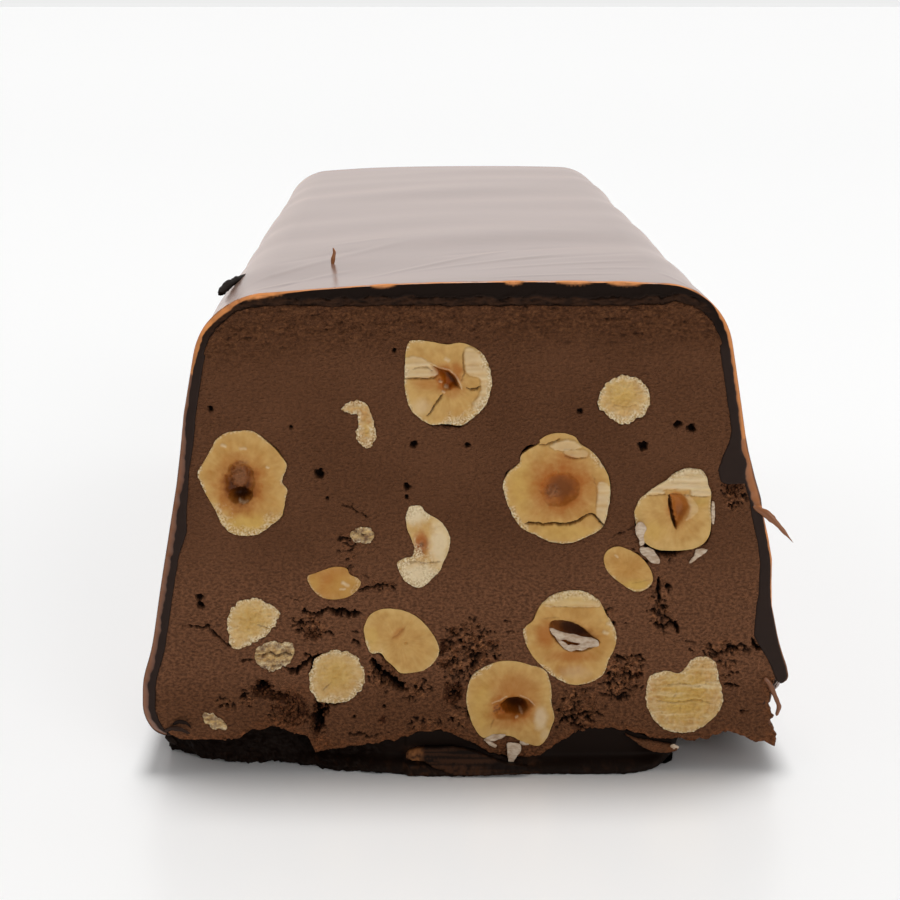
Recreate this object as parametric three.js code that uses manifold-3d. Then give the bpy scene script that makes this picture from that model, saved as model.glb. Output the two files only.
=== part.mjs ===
// A loaf-shaped bar of soft chocolate nougat with whole hazelnuts in it, inside a dark chocolate coating,
// cut straight across at its front end. Millimetres, +Z up. The origin lies on the table under the middle of
// the bar. The cut face looks along -Y, and the moulded end is at +Y.
import * as THREE from 'three';
import { mergeVertices } from 'three/addons/utils/BufferGeometryUtils.js';
import Module from 'manifold-3d';

const wasm = await Module();
wasm.setup();

// ---- driving dimensions ----

const bar = { length: 184, height: 63.3 };
const cutY = -bar.length / 2;
const endY = bar.length / 2;
const gap = 0.3; // kept between solids that touch

const wall = { footHalfWidth: 42.6, draft: 0.18, rimHeight: 0.5 };
const foot = { swell: 0.5, swellHeight: 12.5, swellSpread: 3, tuckBelow: 8.5, tuckRate: 0.03 };
const crown = { peakX: 8, rate: 0.0013 };
const corner = { radius: 9, startX: 24 };
const end = { roundRadius: 8, draft: 0.1, draftFrom: 10 };
const coating = { wall: 1.65, corner: 1.4, innerTop: 60.3, end: 2.6 };

// Steps of the cross-section, from the left rim over the top to the right rim.
const steps = { wall: 13, corner: 6, top: 12 };

// Thicker places of the right wall near the cut: height, extra thickness, spread along the height.
const coatingLumps = [
  { z: 40, extra: 1.6, spread: 2.4 },
  { z: 18.5, extra: 1.3, spread: 2.6 },
  { z: 6, extra: -0.5, spread: 5 },
];
const lumpReach = 16; // how far behind the cut the lumps fade away

// Near the cut the foot of the left wall curls in under the nougat.
const footCurl = { below: 9.5, rate: 0.1, reach: 15 };

// Slow unevenness of the hand-made outside: height, wavelength along the bar, wavelength round it, phase.
const unevenness = [
  { height: 0.12, along: 71, round: 64, phase: 0.4 },
  { height: 0.1, along: 37, round: 41, phase: 2.1 },
  { height: 0.07, along: 23, round: 97, phase: 4.4 },
];

// The chocolate base was poured onto the nougat, so its upper side fills the hollows between the nuts.
const baseSheet = { thickness: 4.2, swellReach: 36 };
const baseSwells = [
  { x: -37.5, rise: 0.8, spread: 1.6 },
  { x: -24.6, rise: 1.8, spread: 2.7 },
  { x: -18.2, rise: -1.5, spread: 1.7 },
  { x: -14.6, rise: -1.0, spread: 2.6 },
  { x: -3.8, rise: 1.4, spread: 3.2 },
  { x: 6.6, rise: -2.7, spread: 3.9 },
  { x: 17.3, rise: 1.6, spread: 4.2 },
  { x: 26.8, rise: -2.4, spread: 2.6 },
  { x: 33.8, rise: 1.3, spread: 2.2 },
  { x: 40.2, rise: -1.3, spread: 2.0 },
];

// Where the coating and the base broke away at the cut. Side breaks are (distance behind the cut, height),
// base breaks are (x, distance behind the cut).
const rightWallBreak = [[-2, 12.1], [1.2, 11.2], [3, 10.8], [5.5, 8.6], [8, 8.1], [10.5, 5.2], [13, 4.1], [15.5, 0.9], [17, -1], [-2, -1]];
const leftWallBreak = [[-2, 5.0], [2.2, 4.5], [4.5, 4.6], [7, 3.3], [9.5, 2.8], [12, 0.9], [13, -1], [-2, -1]];
const leftBaseBreak = [[-45, -2], [-8.2, -2], [-8.0, 0.8], [-10.5, 2.2], [-14, 2.6], [-17.5, 3.2], [-19.5, 6.5], [-24, 8.8], [-29, 11.5], [-34, 11.9], [-38, 14], [-45, 15]];
const rightBaseBreak = [[45, -2], [28.8, -2], [29.2, 1.1], [28.2, 3.4], [30.5, 7.2], [33, 9.1], [36, 13.2], [39, 14.8], [45, 17]];

// Hollows torn out of the nougat near its lower edge: centre x, centre z, half-sizes along x, y and z.
const tornHollows = [
  { x: -25.6, z: 11.6, size: [1.5, 2.6, 1.3], turn: 10 },
  { x: -22.4, z: 9.2, size: [2.6, 2.4, 1.7], turn: -28 },
  { x: -19.0, z: 7.2, size: [1.6, 3.4, 2.3], turn: -12 },
  { x: 1.0, z: 9.6, size: [1.0, 2.4, 1.3], turn: 0 },
];

// Strips of coating that the knife peeled off, still hanging on it: a tapering run of (x, y behind the cut, z, radius).
const peeledStrips = [
  [[36.0, 1.6, 36.2, 0.7], [37.4, 1.2, 34.5, 0.65], [39.0, 0.9, 32.9, 0.5], [40.6, 0.7, 31.2, 0.2]],
  [[40.2, 2.8, 12.6, 0.45], [41.0, 2.4, 10.6, 0.42], [41.4, 1.8, 8.6, 0.38], [41.2, 1.5, 6.8, 0.3]],
  [[-27.4, 18, 62.4, 0.5], [-28.1, 18, 61.0, 1.7], [-29.9, 18.2, 59.7, 1.5], [-31.6, 18.6, 59.0, 0.6]],
];

// Hazelnuts that the knife met. Centre on the cut, width, height and turn in degrees of their outline, depth
// behind the cut, and the places where the outline bulges or dips: [angle, share of the radius, spread].
// Angles turn from +X towards +Z. A hollow is the nut's empty heart: offset, width, height, turn and depth.
const hazelnuts = {
  hazelnut_left: {
    at: [-27.6, 38.2], size: [11.0, 13.2], depth: 6.2, bulges: [[212, -0.13, 22], [359, -0.08, 9], [22, 0.06, 10], [320, 0.06, 12]],
    hollow: { at: [-0.3, 0], size: [3.0, 5.0], turn: 4, depth: 1.4 },
  },
  hazelnut_top: {
    at: [-2.2, 50.8], size: [10.6, 10.5], depth: 5.2, bulges: [[136, 0.27, 15], [92, -0.06, 14], [38, 0.06, 24]],
    hollow: { at: [0.1, 0.4], size: [2.8, 2.3], turn: -42, depth: 1.8 },
  },
  hazelnut_centre: {
    at: [11.3, 37.3], size: [13.2, 14.0], depth: 6.4, bulges: [[315, 0.07, 24], [213, -0.07, 20], [155, -0.06, 24]],
    hollow: { at: [0.3, 0.4], size: [2.6, 2.6], turn: 0, depth: 0.5 },
  },
  hazelnut_right: {
    at: [26.1, 34.5], size: [10.1, 10.6], depth: 5, bulges: [[60, 0.06, 24], [312, 0.08, 20], [142, -0.1, 18]],
    hollow: { at: [0.1, 0.2], size: [1.7, 4.6], turn: 12, depth: 2.0 },
  },
  hazelnut_slit: {
    at: [13.3, 17.8], size: [11.8, 12.8], depth: 5.8, bulges: [[228, -0.16, 20], [305, 0.04, 20], [140, 0.04, 20]],
    hollow: { at: [0.0, 0.0], size: [6.2, 3.0], turn: -18, depth: 2.6 },
  },
  hazelnut_square: {
    at: [5.8, 9.0], size: [11.2, 11.4], depth: 4.8, bulges: [[311, 0.16, 18], [50, 0.05, 16], [135, 0.08, 20], [235, -0.05, 24], [4, -0.04, 12]],
    hollow: { at: [0.3, -0.4], size: [4.4, 2.8], turn: 6, depth: 2.8 },
  },
  hazelnut_smooth: {
    at: [-8.1, 17.5], size: [10.4, 7.9], turn: -28, depth: 4.2, bulges: [[212, -0.26, 11], [330, 0.03, 20]],
  },
  hazelnut_heart: {
    at: [28.1, 9.9], size: [10.0, 10.2], depth: 3.6, bulges: [[113, -0.3, 11], [68, 0.14, 18], [150, 0.06, 12]],
  },
  hazelnut_crescent: {
    at: [-4.4, 30.2], size: [5.2, 9.2], depth: 3, bulges: [[122, 0.5, 16], [228, 0.72, 22], [172, -0.26, 20]],
  },
  hazelnut_golden: {
    at: [-16.3, 25.3], size: [6.5, 4.5], depth: 2, bulges: [[155, 0.2, 14], [325, -0.2, 18]],
  },
  hazelnut_oval: {
    at: [20.4, 27.0], size: [7.0, 4.7], turn: -47, depth: 2.2, bulges: [],
  },
  hazelnut_pale_upper: {
    at: [-26.8, 20.1], size: [6.6, 6.2], depth: 2.2, bulges: [[225, 0.14, 20], [38, 0.1, 20], [290, -0.2, 18], [330, -0.14, 15]],
  },
  hazelnut_pale_lower: {
    at: [-16.3, 12.6], size: [7.2, 7.2], depth: 2.6, bulges: [[46, 0.06, 20]],
  },
  hazelnut_pale_round: {
    at: [19.5, 48.7], size: [6.0, 6.0], depth: 2.2, bulges: [],
  },
  hazelnut_chip_streak: {
    at: [-24.2, 15.6], size: [5.0, 4.1], depth: 1.3, bulges: [[36, 0.2, 16], [128, -0.1, 20]],
  },
  hazelnut_chip_hooked: {
    at: [-12.4, 45.8], size: [2.4, 5.7], depth: 1.3, bulges: [[147, 1.3, 15]],
  },
  hazelnut_chip_corner: {
    at: [-32.0, 6.8], size: [3.4, 2.2], turn: -35, depth: 1, bulges: [],
  },
  hazelnut_chip_small: {
    at: [-12.9, 31.4], size: [3.0, 2.2], depth: 1, bulges: [],
  },
};

// ---- shapes ----

const bump = (distance, spread) => Math.exp(-((distance / spread) ** 2));

// Half-width of the outside at height z: a slanting wall that swells at its foot and tucks in towards the rim.
function halfWidth(z) {
  const tuck = Math.max(0, foot.tuckBelow - z);
  return wall.footHalfWidth - wall.draft * z + foot.swell * bump(z - foot.swellHeight, foot.swellSpread)
    - foot.tuckRate * tuck * tuck;
}

const topHeight = (x) => bar.height - crown.rate * (x - crown.peakX) ** 2;

// Points of the outside of one half, from the rim to the end of its rounded corner. side is -1 or 1.
function halfCurve(side, rim) {
  const slant = Math.atan(wall.draft);
  const centreZ = topHeight(side * corner.startX) - corner.radius;
  const centreX = wall.footHalfWidth - corner.radius / Math.cos(slant) - centreZ * wall.draft;
  const wallTop = centreZ + corner.radius * Math.sin(slant);
  const points = [];
  for (let i = 0; i <= steps.wall; i++) {
    const z = rim + (wallTop - rim) * (i / steps.wall);
    const lumps = side > 0 ? coatingLumps.reduce((sum, l) => sum + l.extra * bump(z - l.z, l.spread), 0) : 0;
    const curl = side < 0 ? footCurl.rate * Math.max(0, footCurl.below - z) ** 2 : 0;
    points.push({ x: side * halfWidth(z), z, thickness: coating.wall, lumps, curl });
  }
  for (let i = 1; i <= steps.corner; i++) {
    const share = i / steps.corner;
    const angle = slant + (Math.PI / 2 - slant) * share;
    const x = centreX + corner.radius * Math.cos(angle);
    const z = centreZ + corner.radius * Math.sin(angle);
    const topThickness = topHeight(side * x) - coating.innerTop;
    const thickness = coating.corner + (topThickness - coating.corner) * share ** 3;
    points.push({ x: side * x, z, thickness, lumps: 0, curl: 0 });
  }
  return points;
}

// The outside's whole curve with its outward normals.
function outsideCurve(rim) {
  const left = halfCurve(-1, rim);
  const right = halfCurve(1, rim).reverse();
  const from = left[left.length - 1].x;
  const to = right[0].x;
  const top = [];
  for (let i = 1; i < steps.top; i++) {
    const x = from + (to - from) * (i / steps.top);
    top.push({ x, z: topHeight(x), thickness: topHeight(x) - coating.innerTop, lumps: 0, curl: 0 });
  }
  const curve = [...left, ...top, ...right];
  curve.forEach((point, i) => {
    const before = curve[Math.max(0, i - 1)];
    const after = curve[Math.min(curve.length - 1, i + 1)];
    const run = Math.hypot(after.x - before.x, after.z - before.z);
    point.normalX = -(after.z - before.z) / run;
    point.normalZ = (after.x - before.x) / run;
  });
  return curve;
}

// One closed cross-section at y. sunk 0 is the outside and 1 is the face between coating and nougat.
function crossSection(y, { sunk, clearance, rim, bottom, roundRadius, lastY }) {
  const intoRound = Math.max(0, y - (lastY - roundRadius));
  const roundInset = roundRadius - Math.sqrt(Math.max(0, roundRadius ** 2 - intoRound ** 2));
  const lumpShare = bump(y - cutY, lumpReach);
  const curlShare = bump(y - cutY, footCurl.reach);
  const lean = end.draft * THREE.MathUtils.smoothstep(y, end.draftFrom, lastY);
  const ring = outsideCurve(rim).map((p) => {
    const height = unevenness.reduce((sum, u) => {
      const angle = (y / u.along + Math.atan2(p.z - 25, p.x) * (30 / u.round)) * 2 * Math.PI + u.phase;
      return sum + u.height * Math.sin(angle);
    }, 0);
    const rise = height * THREE.MathUtils.smoothstep(p.z, foot.swellHeight, 30);
    const inset = sunk * (p.thickness + p.lumps * lumpShare) + clearance + roundInset - rise;
    const x = p.x - p.normalX * inset + p.curl * curlShare;
    const z = Math.max(bottom, p.z - p.normalZ * inset);
    return new THREE.Vector3(x, y - lean * z, z);
  });
  const lower = (p) => new THREE.Vector3(p.x, y - lean * bottom, bottom);
  return [lower(ring[0]), ...ring, lower(ring[ring.length - 1])];
}

// A closed body through cross-sections that run along y.
function loft(rings) {
  const count = rings[0].length;
  const positions = rings.flat().flatMap((p) => [p.x, p.y, p.z]);
  const index = [];
  for (let r = 0; r + 1 < rings.length; r++) {
    for (let i = 0; i < count; i++) {
      const a = r * count + i;
      const b = r * count + ((i + 1) % count);
      index.push(a, b, a + count, b, b + count, a + count);
    }
  }
  const cap = (r) => THREE.ShapeUtils.triangulateShape(rings[r].map((p) => new THREE.Vector2(p.x, p.z)), []);
  const last = rings.length - 1;
  cap(0).forEach(([a, b, c]) => index.push(a, b, c));
  cap(last).forEach(([a, b, c]) => index.push(a + last * count, c + last * count, b + last * count));
  return solidFrom(positions, index);
}

// A closed body round an axis along y: rings of points between a front pole and a back pole.
function polarBody(frontPole, rings, backPole) {
  const count = rings[0].length;
  const points = [frontPole, ...rings.flat(), backPole];
  const positions = points.flatMap((p) => [p.x, p.y, p.z]);
  const index = [];
  const last = points.length - 1;
  for (let k = 0; k < count; k++) {
    const next = (k + 1) % count;
    index.push(0, 1 + k, 1 + next);
    for (let r = 0; r + 1 < rings.length; r++) {
      const inner = 1 + r * count;
      const outer = inner + count;
      index.push(inner + k, outer + k, outer + next, inner + k, outer + next, inner + next);
    }
    const rim = 1 + (rings.length - 1) * count;
    index.push(rim + k, last, rim + next);
  }
  return solidFrom(positions, index);
}

function solidFrom(positions, index) {
  const geometry = new THREE.BufferGeometry();
  geometry.setAttribute('position', new THREE.Float32BufferAttribute(positions, 3));
  geometry.setIndex(index);
  return solidOf(geometry);
}

function solidOf(geometry) {
  const bare = geometry.index ? geometry.toNonIndexed() : geometry.clone();
  bare.deleteAttribute('normal');
  bare.deleteAttribute('uv');
  const merged = mergeVertices(bare, 1e-4);
  return new wasm.Manifold(new wasm.Mesh({
    numProp: 3,
    vertProperties: new Float32Array(merged.attributes.position.array),
    triVerts: new Uint32Array(merged.index.array),
  }));
}

// A straight prism. axis 'z' takes (x, y) points and axis 'x' takes (y, z) points.
function prism(points, axis, low, high) {
  const shape = new THREE.Shape(points.map(([a, b]) => new THREE.Vector2(a, b)));
  const geometry = new THREE.ExtrudeGeometry(shape, { depth: high - low, bevelEnabled: false });
  geometry.translate(0, 0, low);
  if (axis === 'x') {
    const turned = new THREE.Matrix4().makeBasis(
      new THREE.Vector3(0, 1, 0), new THREE.Vector3(0, 0, 1), new THREE.Vector3(1, 0, 0));
    geometry.applyMatrix4(turned);
  }
  return solidOf(geometry);
}

// ---- coating, nougat and base ----

function coatingOutside() {
  const shape = { sunk: 0, clearance: 0, rim: wall.rimHeight, bottom: wall.rimHeight, roundRadius: end.roundRadius, lastY: endY };
  const stations = [cutY, -80, -62, -40, -18, 6, 30, 54, 72, 84, 86.6, 88.8, 90.5, 91.6, endY];
  return loft(stations.map((y) => crossSection(y, shape)));
}

// The space inside the coating, or what fills it where clearance is positive.
function inside(clearance, bottom, firstY) {
  const roundRadius = end.roundRadius - coating.end + gap;
  const lastY = endY - coating.end - clearance;
  const shape = { sunk: 1, clearance, rim: wall.rimHeight, bottom, roundRadius, lastY };
  const stations = [firstY, -86, -78, -66, -40, 0, 40, 72, lastY - roundRadius, lastY - 2.6, lastY - 0.8, lastY];
  return loft(stations.map((y) => crossSection(y, shape)));
}

// Height of the face between nougat and base.
function baseTop(x, y) {
  const share = 1 - THREE.MathUtils.smoothstep(y, cutY, cutY + baseSheet.swellReach);
  return baseSheet.thickness + share * baseSwells.reduce((sum, s) => sum + s.rise * bump(x - s.x, s.spread), 0);
}

// Everything below the base's upper side, lowered by drop.
function belowBaseTop(drop) {
  const flatFrom = cutY + baseSheet.swellReach;
  const stations = [cutY - 3, cutY, -87.3, -81.6, -75.2, -67.4, flatFrom];
  const columns = 56;
  const reach = 46;
  const floor = -3;
  const ring = (y) => {
    const points = [new THREE.Vector3(-reach, y, floor)];
    for (let i = 0; i <= columns; i++) {
      const x = -reach + (2 * reach * i) / columns;
      points.push(new THREE.Vector3(x, y, baseTop(x, y) - drop));
    }
    points.push(new THREE.Vector3(reach, y, floor));
    return points;
  };
  const corners = [[-reach, flatFrom], [reach, flatFrom], [reach, endY + 3], [-reach, endY + 3]];
  return loft(stations.map(ring)).add(prism(corners, 'z', floor, baseSheet.thickness - drop));
}

const behindCut = (points, axis) => points.map(([a, b]) => (axis === 'x' ? [cutY + a, b] : [a, cutY + b]));

function tornHollow({ x, z, size, turn }) {
  const blob = new THREE.IcosahedronGeometry(1, 2);
  blob.scale(size[0], size[1], size[2]);
  blob.rotateY(THREE.MathUtils.degToRad(-turn));
  blob.translate(x, cutY, z);
  return solidOf(blob);
}

// A peeled strip: a four-sided tube with pointed ends, which runs down through the given places.
function peeledStrip(places) {
  const ring = ([x, back, z, radius]) => [0, 1, 2, 3].map((k) => {
    const angle = (k * Math.PI) / 2;
    return new THREE.Vector3(x + 0.5 * radius * Math.cos(angle), cutY + back + radius * Math.sin(angle), z);
  });
  const pole = ([x, back, z, radius], rise) => new THREE.Vector3(x, cutY + back, z + rise * radius);
  const upper = places[0];
  const lower = places[places.length - 1];
  return polarBody(pole(upper, 0.6), places.map(ring), pole(lower, -0.6));
}

function makeCoating() {
  const solid = coatingOutside()
    .subtract(inside(0, -2, cutY - 2))
    .subtract(prism(behindCut(rightWallBreak, 'x'), 'x', 30, 46))
    .subtract(prism(behindCut(leftWallBreak, 'x'), 'x', -46, -30));
  return peeledStrips.reduce((sum, strip) => sum.add(peeledStrip(strip)), solid);
}

function makeNougat() {
  const body = inside(gap, -1, cutY).subtract(belowBaseTop(0));
  const hollowed = tornHollows.reduce((left, hollow) => left.subtract(tornHollow(hollow)), body);
  return Object.values(hazelnuts).reduce((left, nut) => left.subtract(nutSocket(nut)), hollowed);
}

function makeBase() {
  return inside(gap, 0, cutY + 0.4)
    .intersect(belowBaseTop(gap))
    .subtract(prism(behindCut(leftBaseBreak, 'z'), 'z', -2, 12))
    .subtract(prism(behindCut(rightBaseBreak, 'z'), 'z', -2, 12));
}

// ---- hazelnuts ----

// Point of a nut's outline on the cut, swollen by clearance and scaled by share.
function nutOutline(nut, angle, clearance, share) {
  const turn = THREE.MathUtils.degToRad(nut.turn ?? 0);
  const a = nut.size[0] / 2;
  const b = nut.size[1] / 2;
  const radius = (a * b) / Math.hypot(b * Math.cos(angle - turn), a * Math.sin(angle - turn));
  const swelling = nut.bulges.reduce((sum, [at, rise, spread]) => {
    const away = THREE.MathUtils.euclideanModulo(THREE.MathUtils.radToDeg(angle) - at + 180, 360) - 180;
    return sum + rise * bump(away, spread);
  }, 1);
  const reach = (radius * swelling + clearance) * share;
  return [nut.at[0] + reach * Math.cos(angle), nut.at[1] + reach * Math.sin(angle)];
}

const spokesOf = (nut) => (nut.depth > 2.5 ? 24 : 14);

function nutRing(nut, y, clearance, share) {
  const spokes = spokesOf(nut);
  return Array.from({ length: spokes }, (_, k) => {
    const [x, z] = nutOutline(nut, (k / spokes) * 2 * Math.PI, clearance, share);
    return new THREE.Vector3(x, y, z);
  });
}

// The rings of a nut behind the cut, rounding off to its back pole.
function nutBack(nut, clearance) {
  const roundness = 2.3;
  const depth = nut.depth + clearance;
  const shares = nut.depth > 4 ? [0.3, 0.6, 0.85] : [0.45, 0.82];
  return shares.map((share) => {
    const width = (1 - share ** roundness) ** (1 / roundness);
    return nutRing(nut, cutY + depth * share, clearance, width);
  });
}

const nutBackPole = (nut, clearance) => new THREE.Vector3(nut.at[0], cutY + nut.depth + clearance, nut.at[1]);

function makeHazelnut(nut) {
  const face = [];
  let pole = new THREE.Vector3(nut.at[0], cutY, nut.at[1]);
  if (nut.hollow) {
    const { at, size, turn, depth } = nut.hollow;
    const heart = [nut.at[0] + at[0], nut.at[1] + at[1]];
    const inner = { at: heart, size, turn, bulges: [] };
    const spokes = spokesOf(nut);
    const hollowRing = (y, share) => Array.from({ length: spokes }, (_, k) => {
      const [x, z] = nutOutline(inner, (k / spokes) * 2 * Math.PI, 0, share);
      return new THREE.Vector3(x, y, z);
    });
    pole = new THREE.Vector3(heart[0], cutY + depth, heart[1]);
    face.push(hollowRing(cutY + 0.8 * depth, 0.65), hollowRing(cutY, 1));
  }
  return polarBody(pole, [...face, nutRing(nut, cutY, 0, 1), ...nutBack(nut, 0)], nutBackPole(nut, 0));
}

function nutSocket(nut) {
  const lead = 2;
  const pole = new THREE.Vector3(nut.at[0], cutY - lead, nut.at[1]);
  const mouth = [nutRing(nut, cutY - lead, gap, 1), nutRing(nut, cutY, gap, 1)];
  return polarBody(pole, [...mouth, ...nutBack(nut, gap)], nutBackPole(nut, gap));
}

// ---- the bar ----

const materials = {
  coating: new THREE.MeshStandardMaterial({ color: 0x2b1a12, roughness: 0.35, metalness: 0 }),
  nougat: new THREE.MeshStandardMaterial({ color: 0x573a2b, roughness: 0.75, metalness: 0 }),
  hazelnut: new THREE.MeshStandardMaterial({ color: 0xc7a169, roughness: 0.5, metalness: 0 }),
};

function meshOf(name, solid, material) {
  const mesh = solid.getMesh();
  const geometry = new THREE.BufferGeometry();
  geometry.setAttribute('position', new THREE.BufferAttribute(new Float32Array(mesh.vertProperties), 3));
  geometry.setIndex(new THREE.BufferAttribute(new Uint32Array(mesh.triVerts), 1));
  const made = new THREE.Mesh(geometry, material);
  made.name = name;
  return made;
}

const nougatBar = new THREE.Group();
nougatBar.add(meshOf('coating', makeCoating(), materials.coating));
nougatBar.add(meshOf('nougat', makeNougat(), materials.nougat));
nougatBar.add(meshOf('base', makeBase(), materials.coating));
for (const [name, nut] of Object.entries(hazelnuts)) {
  nougatBar.add(meshOf(name, makeHazelnut(nut), materials.hazelnut));
}

export default nougatBar;
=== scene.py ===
import itertools
import math

import bpy
import numpy as np
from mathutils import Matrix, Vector
from mathutils.geometry import delaunay_2d_cdt
from mathutils.kdtree import KDTree


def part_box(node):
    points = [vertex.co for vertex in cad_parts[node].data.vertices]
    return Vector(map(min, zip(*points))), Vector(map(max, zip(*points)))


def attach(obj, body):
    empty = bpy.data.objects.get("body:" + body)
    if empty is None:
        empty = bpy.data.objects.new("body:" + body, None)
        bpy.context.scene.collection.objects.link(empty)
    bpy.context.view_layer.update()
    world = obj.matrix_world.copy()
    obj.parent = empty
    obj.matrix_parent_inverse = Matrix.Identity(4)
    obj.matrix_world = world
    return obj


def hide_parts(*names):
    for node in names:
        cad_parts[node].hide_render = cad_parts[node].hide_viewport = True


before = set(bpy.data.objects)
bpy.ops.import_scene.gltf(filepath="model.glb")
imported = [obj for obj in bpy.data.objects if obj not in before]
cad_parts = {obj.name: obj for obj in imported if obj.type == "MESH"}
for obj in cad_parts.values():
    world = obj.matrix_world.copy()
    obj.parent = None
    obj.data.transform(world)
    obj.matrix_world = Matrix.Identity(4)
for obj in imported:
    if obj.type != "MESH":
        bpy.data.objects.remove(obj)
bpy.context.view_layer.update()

# Shapes are worked out in millimetres and turned into metres when a mesh is built.
mm = 0.001
coatLow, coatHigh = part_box("coating")
cutY = coatLow.y / mm  # the cut face looks along -Y
endY = coatHigh.y / mm  # the moulded end
print("frame loaded: bar from y", round(cutY, 1), "to", round(endY, 1), "mm")


def bump(distance, spread):
    return np.exp(-((distance / spread) ** 2))


def smoothStep(value, low, high):
    share = np.clip((value - low) / (high - low), 0, 1)
    return share * share * (3 - 2 * share)


def hashed(cells, seed):
    c = cells.astype(np.uint64)
    h = c[..., 0] * np.uint64(73856093) ^ c[..., 1] * np.uint64(19349663) ^ c[..., 2] * np.uint64(83492791)
    h = (h ^ np.uint64(seed * 97561 + 12345)) & np.uint64(0xFFFFFFFF)
    h = ((h ^ (h >> np.uint64(15))) * np.uint64(2246822519)) & np.uint64(0xFFFFFFFF)
    h = ((h ^ (h >> np.uint64(13))) * np.uint64(3266489917)) & np.uint64(0xFFFFFFFF)
    return h ^ (h >> np.uint64(16))


def noiseAt(points, size, seed):
    # gradient noise, about -1 to 1
    q = points / np.asarray(size, float)
    base = np.floor(q)
    f = q - base
    fade = f * f * f * (f * (f * 6 - 15) + 10)
    total = np.zeros(len(q))
    for corner in itertools.product((0, 1), repeat=3):
        step = np.array(corner)
        h = hashed((base + step).astype(np.int64), seed)
        turn = (h & np.uint64(0xFFFF)).astype(float) * (2 * math.pi / 65536)
        up = (h >> np.uint64(16)).astype(float) / 32768 - 1
        flat = np.sqrt(np.maximum(0, 1 - up * up))
        away = f - step
        dot = away[:, 0] * flat * np.cos(turn) + away[:, 1] * flat * np.sin(turn) + away[:, 2] * up
        total += np.prod(np.where(step, fade, 1 - fade), axis=1) * dot
    return total * 1.7


def fractal(points, size, seed, octaves=4, gain=0.5):
    total, height = np.zeros(len(points)), 1.0
    for k in range(octaves):
        total += height * noiseAt(points, np.asarray(size, float) / 2 ** k, seed + 7 * k)
        height *= gain
    return total


def onFace(p):
    # (x, z) on the cut as points for the noise
    return np.column_stack([p[:, 0], np.zeros(len(p)), p[:, 1]])


def grainCells(p, size, seed):
    # distances to the nearest and second nearest of scattered centres on the cut, a random number, the centre
    q = p / size
    base = np.floor(q)
    near = np.full(len(q), 9.0)
    second = np.full(len(q), 9.0)
    number = np.zeros(len(q))
    middle = np.zeros_like(q)
    for step in itertools.product((-1, 0, 1), repeat=2):
        cell = base + np.array(step)
        h = hashed(np.column_stack([cell, np.zeros(len(q))]).astype(np.int64), seed)
        centre = cell + np.column_stack([h & np.uint64(0xFFFF), h >> np.uint64(16)]).astype(float) / 65536
        away = np.hypot(q[:, 0] - centre[:, 0], q[:, 1] - centre[:, 1])
        closer = away < near
        second = np.where(closer, near, np.minimum(second, away))
        number = np.where(closer, (h % np.uint64(1009)).astype(float) / 1009, number)
        middle = np.where(closer[:, None], centre, middle)
        near = np.where(closer, away, near)
    return near, second, number, middle * size


def pathDistance(p, path):
    # distance of points to an open line, and how far along it the nearest place lies
    path = np.asarray(path, float)
    best = np.full(len(p), 1e9)
    along = np.zeros(len(p))
    run = 0.0
    for a, b in zip(path[:-1], path[1:]):
        d = b - a
        length = max(np.hypot(*d), 1e-9)
        t = np.clip(((p - a) @ d) / length ** 2, 0, 1)
        away = np.hypot(*(p - a - t[:, None] * d).T)
        along = np.where(away < best, run + t * length, along)
        best = np.minimum(best, away)
        run += length
    return best, along, run


def ovalShare(p, at, halfSize, turn=0):
    # 0 at the middle of an oval and 1 on its outline
    c, s = math.cos(math.radians(turn)), math.sin(math.radians(turn))
    x, z = p[:, 0] - at[0], p[:, 1] - at[1]
    return np.hypot((x * c + z * s) / halfSize[0], (z * c - x * s) / halfSize[1])


def loopDistance(p, loop):
    return pathDistance(p, np.concatenate([loop, loop[:1]]))[0]


def nearestDistance(p, rim):
    # how far points of the cut are from the nearest of the rim's points
    tree = KDTree(len(rim))
    for i, q in enumerate(rim):
        tree.insert((q[0], q[1], 0), i)
    tree.balance()
    return np.array([tree.find((q[0], q[1], 0))[2] for q in p])


def shiver(p, place, size, seed, reach):
    # points of the cut moved about a little by two noises
    return p + reach * np.column_stack([noiseAt(place, size, seed), noiseAt(place, size, seed + 1)])


def insideLoop(p, loop):
    inside = np.zeros(len(p), bool)
    for a, b in zip(loop, np.roll(loop, -1, axis=0)):
        if a[1] == b[1]:
            continue
        crosses = (a[1] > p[:, 1]) != (b[1] > p[:, 1])
        inside ^= crosses & (p[:, 0] < a[0] + (p[:, 1] - a[1]) * (b[0] - a[0]) / (b[1] - a[1]))
    return inside


def buildMesh(name, points, triangles, material, attributes):
    mesh = bpy.data.meshes.new(name)
    points = np.asarray(points, float) * mm
    corners = np.asarray(triangles, np.int32)
    mesh.vertices.add(len(points))
    mesh.vertices.foreach_set("co", points.ravel())
    mesh.loops.add(corners.size)
    mesh.loops.foreach_set("vertex_index", corners.ravel())
    mesh.polygons.add(len(corners))
    mesh.polygons.foreach_set("loop_start", np.arange(0, corners.size, 3, dtype=np.int32))
    for key, values in attributes.items():
        layer = mesh.attributes.new(key, "FLOAT", "POINT")
        layer.data.foreach_set("value", np.asarray(values, np.float32))
    mesh.update()
    mesh.validate()
    mesh.shade_smooth()
    mesh.materials.append(material)
    piece = bpy.data.objects.new(name, mesh)
    bpy.context.scene.collection.objects.link(piece)
    return piece


def hand(piece, slot, *nodes):
    # every piece moves with the bar's one body
    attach(piece, "root")
    if nodes:
        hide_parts(*nodes)


def quads(a, b, c, d):
    return np.concatenate([np.column_stack([a, b, c]), np.column_stack([a, c, d])])


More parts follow.
